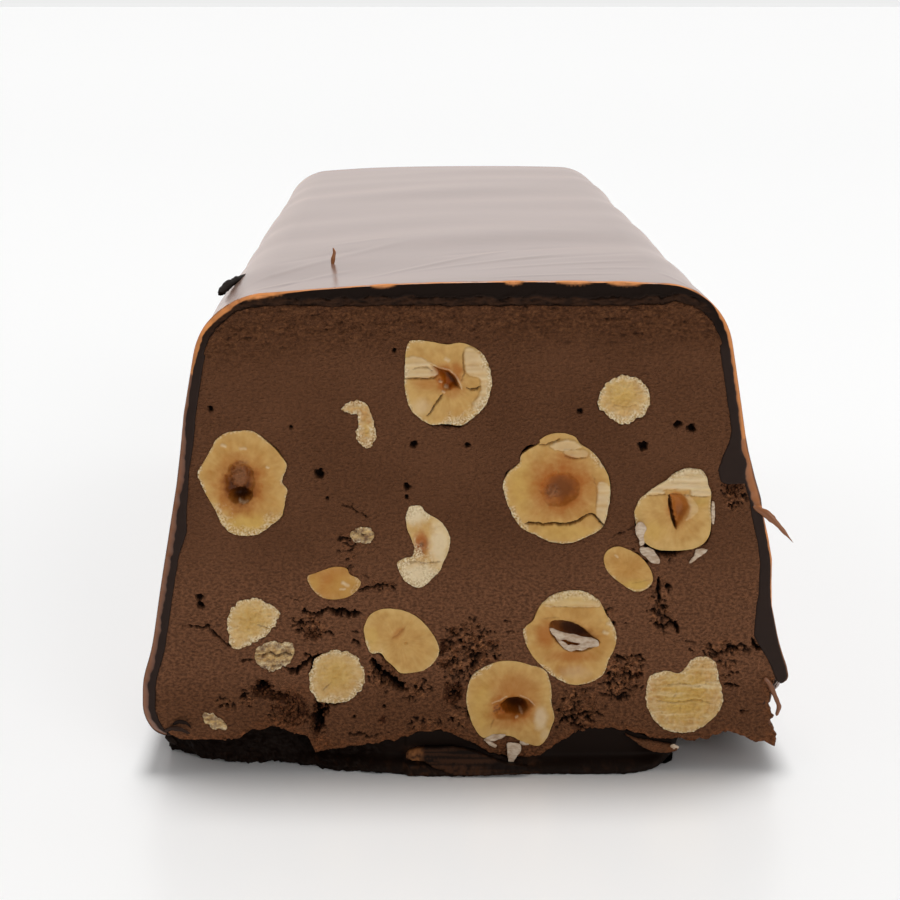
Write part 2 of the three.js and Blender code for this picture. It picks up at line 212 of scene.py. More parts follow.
def bridge(first, second, closed=True):
    # triangles between two rows of vertex numbers of equal length
    first, second = np.asarray(first), np.asarray(second)
    if closed:
        return quads(first, np.roll(first, -1), np.roll(second, -1), second)
    return quads(first[:-1], first[1:], second[1:], second[:-1])


def fan(rim, pole, back=False):
    # triangles from a closed rim to one point
    sides = [rim, np.roll(rim, -1)]
    return np.column_stack([*(sides[::-1] if back else sides), np.full(len(rim), pole)])


def onCut(p, back):
    # points of the cut, set back behind it
    return np.column_stack([p[:, 0], np.broadcast_to(cutY + back, len(p)), p[:, 1]])


def newShape(points, triangles, masks):
    # a mesh in the making, as rows of points with each mask's values on them
    return {"points": [points], "triangles": [triangles],
            "masks": {key: [values] for key, values in masks.items()}}


def addRow(shape, row, **values):
    # returns the new points' numbers
    first = sum(len(part) for part in shape["points"])
    shape["points"].append(row)
    for key, parts in shape["masks"].items():
        parts.append(np.broadcast_to(np.asarray(values.get(key, 0), float), len(row)))
    return np.arange(first, first + len(row))


def finished(shape, name, material):
    masks = {key: np.clip(np.concatenate(parts), 0, 1) for key, parts in shape["masks"].items()}
    points, triangles = np.concatenate(shape["points"]), np.concatenate(shape["triangles"])
    piece = buildMesh(name, points, triangles, material, masks)
    print(name, "made:", len(piece.data.polygons), "triangles")
    return piece


def facePoints(loops, levels, spacingOf, seed, margin=0.6):
    # jittered grid points inside the first loop and outside the others, as dense as spacingOf asks
    rng = np.random.default_rng(seed)
    outer = loops[0]
    low, high = outer.min(0), outer.max(0)
    kept = []
    levels = sorted(levels, reverse=True)
    for k, step in enumerate(levels):
        xs = np.arange(low[0], high[0], step)
        zs = np.arange(low[1], high[1], step * 0.866)
        grid = np.stack(np.meshgrid(xs, zs), axis=-1)
        grid[1::2, :, 0] += step / 2
        p = grid.reshape(-1, 2)
        p = p + rng.uniform(-0.22, 0.22, p.shape) * step
        wanted = spacingOf(p)
        nearest = np.abs(np.asarray(levels)[:, None] - wanted).argmin(0) == k
        p = p[nearest]
        kept.append((p, np.full(len(p), step)))
    p = np.concatenate([a for a, _ in kept])
    step = np.concatenate([b for _, b in kept])
    keep = insideLoop(p, outer)
    for loop in loops[1:]:
        near = np.all((p > loop.min(0)) & (p < loop.max(0)), axis=1)
        keep[near] &= ~insideLoop(p[near], loop)
    p, step = p[keep], step[keep]
    away = nearestDistance(p, np.concatenate(loops))
    return p[away > margin * np.minimum(step, 0.3)]


def evenPoints(loops, step, seed):
    return facePoints(loops, (step,), lambda p: np.full(len(p), step), seed, 0.5)


def triangulate(loops, inner):
    # flat triangles between closed loops, the first outside and the others holes, through the inner points
    points = np.concatenate([*loops, inner])
    edges, start = [], 0
    for loop in loops:
        edges += [(start + i, start + (i + 1) % len(loop)) for i in range(len(loop))]
        start += len(loop)
    out = delaunay_2d_cdt([Vector(q) for q in points], edges, [], 2, 1e-6, True)
    source = np.array([origin[0] if origin else -1 for origin in out[3]])
    faces = source[np.array([f for f in out[2]])]
    if (faces < 0).any():
        print("  dropped", int((faces < 0).any(1).sum()), "triangles at crossing edges")
        faces = faces[(faces >= 0).all(1)]
    onRim = np.flatnonzero((faces < start).all(1))
    middle = points[faces[onRim]].mean(1)
    outside = ~insideLoop(middle, loops[0])
    for loop in loops[1:]:
        outside |= insideLoop(middle, loop)
    faces = np.delete(faces, onRim[outside], axis=0)
    a, b, c = points[faces[:, 0]], points[faces[:, 1]], points[faces[:, 2]]
    area = (b[:, 0] - a[:, 0]) * (c[:, 1] - a[:, 1]) - (b[:, 1] - a[:, 1]) * (c[:, 0] - a[:, 0])
    faces[area < 0] = faces[area < 0][:, ::-1]
    return points, faces


def colour(red, green, blue):
    # screen colour to linear light
    shares = (red / 255, green / 255, blue / 255)
    return tuple(c / 12.92 if c <= 0.04045 else ((c + 0.055) / 1.055) ** 2.4 for c in shares)


def node(tree, kind, **settings):
    made = tree.nodes.new(kind)
    for key, value in settings.items():
        setattr(made, key, value)
    return made


def wire(tree, source, target):
    tree.links.new(source, target)


def feed(tree, socket, value):
    # a number or colour is set on the socket, anything else is wired to it
    if isinstance(value, (int, float)):
        socket.default_value = value
    elif isinstance(value, tuple):
        socket.default_value = (*value, 1)
    else:
        wire(tree, value, socket)


def setSockets(made, **values):
    # names are the sockets' own, with "_" for a space
    for key, value in values.items():
        made.inputs[key.replace("_", " ")].default_value = value


def mixColours(tree, factor, first, second, blend="MIX"):
    mix = node(tree, "ShaderNodeMix", data_type="RGBA", blend_type=blend)
    for k, value in ((0, factor), (6, first), (7, second)):
        feed(tree, mix.inputs[k], value)
    return mix.outputs[2]


def mixNumbers(tree, factor, first, second):
    mix = node(tree, "ShaderNodeMix", data_type="FLOAT")
    for k, value in ((0, factor), (2, first), (3, second)):
        feed(tree, mix.inputs[k], value)
    return mix.outputs[0]


def maths(tree, operation, first, second):
    made = node(tree, "ShaderNodeMath", operation=operation)
    feed(tree, made.inputs[0], first)
    feed(tree, made.inputs[1], second)
    return made.outputs[0]


def noiseTexture(tree, vector, scale, detail):
    texture = node(tree, "ShaderNodeTexNoise")
    feed(tree, texture.inputs["Scale"], scale)
    feed(tree, texture.inputs["Detail"], detail)
    wire(tree, vector, texture.inputs["Vector"])
    return texture.outputs[0]


def stretched(tree, vector, scale):
    mapping = node(tree, "ShaderNodeMapping")
    setSockets(mapping, Scale=scale)
    wire(tree, vector, mapping.inputs["Vector"])
    return mapping.outputs[0]


def attribute(tree, name):
    return node(tree, "ShaderNodeAttribute", attribute_name=name).outputs["Fac"]


def makeGrainGroup():
    # uneven grain at two sizes: a height for bumps and a mask for colour
    group = bpy.data.node_groups.new("unevenGrain", "ShaderNodeTree")
    group.interface.new_socket("Vector", in_out="INPUT", socket_type="NodeSocketVector")
    for name, value in (("Coarse Scale", 900), ("Fine Scale", 3000), ("Fine Share", 0.5), ("Detail", 3)):
        socket = group.interface.new_socket(name, in_out="INPUT", socket_type="NodeSocketFloat")
        socket.default_value = value
    for name in ("Height", "Mask"):
        group.interface.new_socket(name, in_out="OUTPUT", socket_type="NodeSocketFloat")
    given = node(group, "NodeGroupInput").outputs
    made = node(group, "NodeGroupOutput").inputs
    coarse, fine = (noiseTexture(group, given["Vector"], given[scale], given["Detail"])
                    for scale in ("Coarse Scale", "Fine Scale"))
    wire(group, mixNumbers(group, given["Fine Share"], coarse, fine), made["Height"])
    wire(group, coarse, made["Mask"])
    return group


grainGroup = makeGrainGroup()


def newMaterial(name):
    material = bpy.data.materials.new(name)
    material.use_nodes = True
    tree = material.node_tree
    shader = tree.nodes["Principled BSDF"]
    place = node(tree, "ShaderNodeTexCoord").outputs["Object"]
    return material, tree, shader, place


def addGrain(tree, shader, place, strength, distance, stretch=(1, 1, 1), **sizes):
    # grain as a fine bump; returns the colour mask
    grain = node(tree, "ShaderNodeGroup", node_tree=grainGroup)
    wire(tree, stretched(tree, place, stretch), grain.inputs["Vector"])
    setSockets(grain, **sizes)
    relief = node(tree, "ShaderNodeBump")
    setSockets(relief, Strength=strength, Distance=distance)
    wire(tree, grain.outputs["Height"], relief.inputs["Height"])
    wire(tree, relief.outputs[0], shader.inputs["Normal"])
    return grain.outputs["Mask"]


def contrast(tree, mask, low, high):
    made = node(tree, "ShaderNodeMapRange")
    setSockets(made, From_Min=low, From_Max=high)
    wire(tree, mask, made.inputs["Value"])
    return made.outputs[0]


def layered(tree, body, look, names):
    # lays the look's colours over one another, each where the mesh's attribute says
    for name in names:
        body = mixColours(tree, attribute(tree, name), body, look[name])
    return body


nougatLook = {
    "body": colour(104, 65, 40), "light": colour(114, 73, 47),
    "cavity": colour(34, 17, 10), "toast": colour(142, 86, 51), "smear": colour(86, 50, 26),
    "lower": colour(131, 87, 60), "crestHighlight": colour(172, 114, 72),
    "crumbs": colour(136, 89, 60), "torn": colour(80, 42, 23),
    "grainShade": (0.4, 0.38, 0.36), "grainHighlight": (1.6, 1.6, 1.6),
    "broadScale": 90, "speckScale": 1250, "roughness": 0.6, "specular": 0.14,
}


def makeNougatMaterial():
    look = nougatLook
    material, tree, shader, place = newMaterial("nougat")
    mask = addGrain(tree, shader, place, 1, 0.0009, (0.85, 1, 1.25), Coarse_Scale=2500, Fine_Scale=4200,
                    Fine_Share=0.4, Detail=3)
    broad = noiseTexture(tree, place, look["broadScale"], 4)
    body = mixColours(tree, contrast(tree, broad, 0.35, 0.65), look["body"], look["light"])
    body = layered(tree, body, look, ("lower", "crumbs", "smear", "crestHighlight", "toast", "torn"))
    # the fine grain's relief is painted in, as shade where the mask is low and highlight where it is high
    paintedGrain = mixColours(tree, contrast(tree, mask, 0.39, 0.61), look["grainShade"], look["grainHighlight"])
    body = mixColours(tree, attribute(tree, "grainy"), body, paintedGrain, "MULTIPLY")
    # tiny pits, too small for the mesh, are painted as dark specks of shade
    speck = noiseTexture(tree, stretched(tree, place, (0.6, 1, 1.6)), look["speckScale"], 3)
    specks = maths(tree, "MULTIPLY", contrast(tree, speck, 0.65, 0.71), attribute(tree, "grainy"))
    body = mixColours(tree, specks, body, look["cavity"])
    # painted shade: darker colour in crevices, cracks, pits, hollows and the pockets round the nuts
    body = mixColours(tree, attribute(tree, "cavity"), body, look["cavity"])
    wire(tree, body, shader.inputs["Base Color"])
    setSockets(shader, Roughness=look["roughness"], Specular_IOR_Level=look["specular"])
    return material


chocolateLook = {
    "skin": colour(84, 55, 43), "cut": colour(23, 12, 6), "bevel": colour(96, 60, 39),
    "fracture": colour(230, 150, 88), "crumb": colour(60, 36, 21),
    "roughness": 0.36, "cutRoughness": 0.6, "specular": 0.12, "coat": 1.0, "coatRoughness": 0.22,
    "gloss": (1.0, 0.9, 0.86), "bloom": 0.36, "bloomTint": (1.0, 0.66, 0.52), "bloomRoughness": 0.35,
}


def makeChocolateMaterial(name, bloom):
    look = chocolateLook
    material, tree, shader, place = newMaterial(name)
    mask = addGrain(tree, shader, place, 0.25, 0.00006, Coarse_Scale=420, Fine_Scale=2600, Fine_Share=0.35)
    skin = mixColours(tree, contrast(tree, mask, 0.3, 0.7), look["skin"],
                      tuple(0.8 * c for c in look["skin"]))
    # the orange colour is a painted glow of light through thin broken edges and chips
    body = layered(tree, skin, look, ("cut", "bevel", "crumb", "fracture"))
    wire(tree, body, shader.inputs["Base Color"])
    rough = mixNumbers(tree, attribute(tree, "cut"), look["roughness"], look["cutRoughness"])
    wire(tree, rough, shader.inputs["Roughness"])
    broken = maths(tree, "MAXIMUM", attribute(tree, "cut"), attribute(tree, "fracture"))
    wire(tree, mixNumbers(tree, broken, look["coat"], 0), shader.inputs["Coat Weight"])
    setSockets(shader, Specular_IOR_Level=look["specular"], Specular_Tint=(*look["gloss"], 1),
               Coat_Tint=(*look["gloss"], 1), Coat_Roughness=look["coatRoughness"], Sheen_Weight=bloom,
               Sheen_Tint=(*look["bloomTint"], 1), Sheen_Roughness=look["bloomRoughness"])
    return material


hazelnutLook = {
    "cream": colour(221, 181, 113), "tan": colour(197, 141, 65), "glow": colour(172, 90, 10),
    "dark": colour(50, 21, 3), "pale": colour(242, 222, 184), "yellow": colour(216, 175, 90),
    "grit": colour(146, 98, 62), "veil": colour(112, 78, 56),
    "grain": (0.86, 0.8, 0.7), "shade": (0.55, 0.42, 0.28), "shadeShare": 0.55,
    "roughness": 0.5, "specular": 0.25, "subsurface": 0.08, "subsurfaceScale": 0.0012, "speckScale": 3900,
}


def makeHazelnutMaterial():
    look = hazelnutLook
    material, tree, shader, place = newMaterial("hazelnut")
    mask = addGrain(tree, shader, place, 0.4, 0.0001, Coarse_Scale=800, Fine_Scale=3600, Fine_Share=0.4)
    grit = contrast(tree, noiseTexture(tree, place, look["speckScale"], 2), 0.36, 0.62)
    torn = maths(tree, "MAXIMUM", attribute(tree, "fray"), attribute(tree, "grit"))
    flesh = mixColours(tree, attribute(tree, "tone"), look["cream"], look["tan"])
    flesh = layered(tree, flesh, look, ("yellow",))
    # darker where the grain's mask is low: painted shade of the fine relief
    flesh = mixColours(tree, contrast(tree, mask, 0.62, 0.3), flesh, look["grain"], "MULTIPLY")
    # dark is painted shade: in hollows, cracks, between grains and under raised edges
    flesh = layered(tree, flesh, look, ("glow", "dark", "grit", "pale"))
    flesh = mixColours(tree, maths(tree, "MULTIPLY", attribute(tree, "fray"), grit), flesh, look["pale"])
    shade = maths(tree, "MULTIPLY", torn, maths(tree, "SUBTRACT", 1, grit))
    shade = maths(tree, "MULTIPLY", shade, look["shadeShare"])
    flesh = mixColours(tree, shade, flesh, look["shade"], "MULTIPLY")
    wire(tree, layered(tree, flesh, look, ("veil",)), shader.inputs["Base Color"])
    setSockets(shader, Roughness=look["roughness"], Specular_IOR_Level=look["specular"],
               Subsurface_Weight=look["subsurface"], Subsurface_Radius=(1, 0.6, 0.3),
               Subsurface_Scale=look["subsurfaceScale"])
    return material


skinLook = {"dark": colour(184, 152, 122), "light": colour(218, 197, 172), "roughness": 0.6}


def makeSkinMaterial():
    # the papery inner skin of a hazelnut
    material, tree, shader, place = newMaterial("nutSkin")
    mask = addGrain(tree, shader, place, 0.6, 0.00012, (1, 1, 2.5), Coarse_Scale=1400, Fine_Scale=4000,
                    Fine_Share=0.5)
    skin = mixColours(tree, contrast(tree, mask, 0.35, 0.65), skinLook["dark"], skinLook["light"])
    wire(tree, skin, shader.inputs["Base Color"])
    setSockets(shader, Roughness=skinLook["roughness"])
    return material


nougatMaterial = makeNougatMaterial()
chocolateMaterial = makeChocolateMaterial("mouldedChocolate", chocolateLook["bloom"])
brokenMaterial = makeChocolateMaterial("brokenChocolate", 0)
hazelnutMaterial = makeHazelnutMaterial()
skinMaterial = makeSkinMaterial()
print("materials made")


# The bar's cross-section, shared by coating, nougat and base.
shell = {
    "height": 63.3, "footHalfWidth": 42.6, "draft": 0.18, "rim": 0.5,
    "swell": 0.5, "swellHeight": 12.5, "swellSpread": 3, "tuckBelow": 8.5, "tuckRate": 0.03,
    "crownX": 8, "crownRate": 0.0013, "cornerRadius": 9, "cornerStart": 24,
    "wall": 1.65, "cornerWall": 1.4, "innerTop": 60.3,
    "endWall": 2.6, "endRound": 8, "endDraft": 0.1, "endDraftFrom": 10,
    "lumpReach": 16, "curlBelow": 9.5, "curlRate": 0.1, "curlReach": 15,
    # near the cut, by height: extra thickness of each wall, then how far it bows out
    "rightLumps": [(4, -0.5), (12, 0), (15.5, 0.4), (18.5, 1.3), (21.5, 0.5), (24, 0), (31, -0.2),
                   (38.3, -0.2), (38.5, 2.2), (38.9, 2.6), (40.4, 2.6), (42.0, 1.6), (43.6, 0.5), (45, 0)],
    "leftLumps": [(29, 0), (32.4, 0.5), (35, 0.1), (40, -0.3), (44, -0.1), (53, -0.25), (58, 0)],
    "rightBow": [(8, 0), (11, 0.45), (14, 0.55), (18, 0.4), (22, 0.35), (25, 0.8), (28, 1.3), (31, 1.2),
                 (34, 0.9), (36, 0.9), (38.5, 0.5), (42, 0.1), (44, 0)],
    "leftBow": [(30, 0), (38, 0.1), (42, 0.3), (47, 0.62), (54, 0.55), (58, 0.45), (61.5, 0.1), (62.5, 0)],
    "unevenness": [(0.12, 71, 64, 0.4), (0.1, 37, 41, 2.1), (0.07, 23, 97, 4.4)],
    "wallSteps": 150, "cornerSteps": 44, "topSteps": 150,
}


def halfWidth(z):
    tuck = np.maximum(0, shell["tuckBelow"] - z)
    swell = shell["swell"] * bump(z - shell["swellHeight"], shell["swellSpread"])
    return shell["footHalfWidth"] - shell["draft"] * z + swell - shell["tuckRate"] * tuck * tuck


def topHeight(x):
    return shell["height"] - shell["crownRate"] * (x - shell["crownX"]) ** 2


def halfCurve(side, foot):
    # from the foot up the wall and round the corner: x, z, coating thickness, lumps, curl
    slant = math.atan(shell["draft"])
    radius = shell["cornerRadius"]
    startX = shell["cornerStart"]
    for _ in range(5):  # the corner meets the top where both have the same slope
        last = math.pi / 2 - math.atan(2 * shell["crownRate"] * (startX - side * shell["crownX"]))
        centreZ = topHeight(side * startX) - radius * math.sin(last)
        centreX = shell["footHalfWidth"] - radius / math.cos(slant) - centreZ * shell["draft"]
        startX = centreX + radius * math.cos(last)
    wallTop = centreZ + radius * math.sin(slant)
    z = np.linspace(foot, wallTop, shell["wallSteps"])
    wall = np.column_stack([side * halfWidth(z), z, np.full(len(z), shell["wall"])])
    share = np.arange(1, shell["cornerSteps"] + 1) / shell["cornerSteps"]
    angle = slant + (last - slant) * share
    x = centreX + radius * np.cos(angle)
    top = topHeight(side * x) - shell["innerTop"]
    thickness = shell["cornerWall"] + (top - shell["cornerWall"]) * share ** 3
    corner = np.column_stack([side * x, centreZ + radius * np.sin(angle), thickness])
    half = np.concatenate([wall, corner])
    z = half[:, 1]
    lumps = np.interp(z, *zip(*shell["rightLumps" if side > 0 else "leftLumps"]))
    bow = side * np.interp(z, *zip(*shell["rightBow" if side > 0 else "leftBow"]))
    curl = (side < 0) * shell["curlRate"] * np.maximum(0, shell["curlBelow"] - z) ** 2
    return np.column_stack([half, lumps, bow + curl])


def sectionCurve(leftFoot, rightFoot):
    # columns: x, z, thickness, lumps, curl, normal x, normal z
    left = halfCurve(-1, leftFoot)
    right = halfCurve(1, rightFoot)[::-1]
    x = np.linspace(left[-1, 0], right[0, 0], shell["topSteps"] + 1)[1:-1]
    top = np.column_stack([x, topHeight(x), topHeight(x) - shell["innerTop"], 0 * x, 0 * x])
    curve = np.concatenate([left, top, right])
    ahead = np.gradient(curve[:, :2], axis=0)
    ahead /= np.hypot(*ahead.T)[:, None]
    return np.column_stack([curve, -ahead[:, 1], ahead[:, 0]])


def sectionAt(curve, y, sunk, clearance, roundRadius, lastY, extra=0):
    # points of a cross-section; y is one number or one for each point
    x, z, thickness, lumps, curl, normalX, normalZ = curve.T
    y = np.broadcast_to(np.asarray(y, float), x.shape)
    intoRound = np.clip(y - (lastY - roundRadius), 0, roundRadius)
    roundInset = roundRadius - np.sqrt(roundRadius ** 2 - intoRound ** 2)
    lean = shell["endDraft"] * smoothStep(y, shell["endDraftFrom"], lastY)
    aroundBar = (math.pi / 2 - np.arctan2(x, z - 25)) * 30
    height = sum(h * np.sin((y / along + aroundBar / around) * 2 * math.pi + phase)
                 for h, along, around, phase in shell["unevenness"])
    rise = height * smoothStep(z, shell["swellHeight"], 30)
    coat = thickness + lumps * bump(y - cutY, shell["lumpReach"])
    inset = sunk * coat + clearance + roundInset - rise + extra
    px = x - normalX * inset + curl * bump(y - cutY, shell["curlReach"])
    pz = np.maximum(0.5 if sunk == 0 else 0, z - normalZ * inset)
    return np.column_stack([px, y - lean * pz, pz])


insideRound = shell["endRound"] - shell["endWall"] + 0.3
insideEnd = endY - shell["endWall"]
innerEndRows = np.array([1, 0.7, 0.45, 0.25, 0.1, 0.02,
                         0])  # rows round the inner end, as shares of its radius

# Upper side of the base: swells between the nuts, and the nougat's exact lower edge on the cut.
baseSheet = {
    "thickness": 4.2, "reach": 36,
    "swells": [(-37.5, 0.8, 1.6), (-24.6, 1.8, 2.7), (-18.2, -1.5, 1.7), (-14.6, -1.0, 2.6),
               (-3.8, 1.4, 3.2), (6.6, -2.7, 3.9), (17.3, 1.6, 4.2), (26.8, -2.4, 2.6), (33.8, 1.3, 2.2),
               (40.2, -1.3, 2.0)],
    "edge": [(-39, 5.2), (-37.5, 5.1), (-36.4, 4.5), (-31.3, 4.4), (-28.8, 4.6), (-28.0, 5.3), (-27.2, 5.8),
             (-26.2, 5.7), (-24.9, 6.2), (-23.3, 5.9), (-22.4, 5.4), (-20.0, 4.8), (-19.7, 3.6),
             (-19.1, 2.6), (-17.9, 2.9), (-13.5, 3.5), (-9.6, 4.1), (-7.7, 4.6), (-5.8, 5.3), (-3.2, 5.4),
             (-1.7, 5.2), (0.0, 4.4), (1.9, 3.3), (3.2, 2.3), (5.2, 1.8), (7.1, 1.7), (9.7, 2.1),
             (10.9, 2.9), (12.2, 4.0), (14.1, 5.1), (16.0, 5.6), (18.6, 5.8), (22.5, 4.9), (23.8, 4.4),
             (25.7, 4.1), (27.7, 4.2), (29.6, 3.9), (31.5, 4.3), (32.8, 4.8), (34.1, 5.2), (35.4, 4.7),
             (36.7, 3.9), (37.7, 3.4), (38.6, 3.6), (40.1, 2.9), (41, 3.6)],
    "edgeReach": 3.5,
}


def baseTop(x, y):
    share = 1 - smoothStep(y, cutY, cutY + baseSheet["reach"])
    swells = sum(rise * bump(x - at, spread) for at, rise, spread in baseSheet["swells"])
    return baseSheet["thickness"] + share * swells


def nougatUnder(x, y):
    x = np.asarray(x, float)
    y = np.broadcast_to(np.asarray(y, float), x.shape)
    edge = np.interp(x, *zip(*baseSheet["edge"]))
    points = np.column_stack([x.ravel(), y.ravel(), 0 * x.ravel()])
    torn = 0.22 * fractal(points, 1.4, 31, 4, 0.6).reshape(x.shape)
    share = bump(y - cutY, baseSheet["edgeReach"])
    return baseTop(x, y) + share * (edge - baseTop(x, y) + torn * (x > -19.5) + 0.4 * torn)
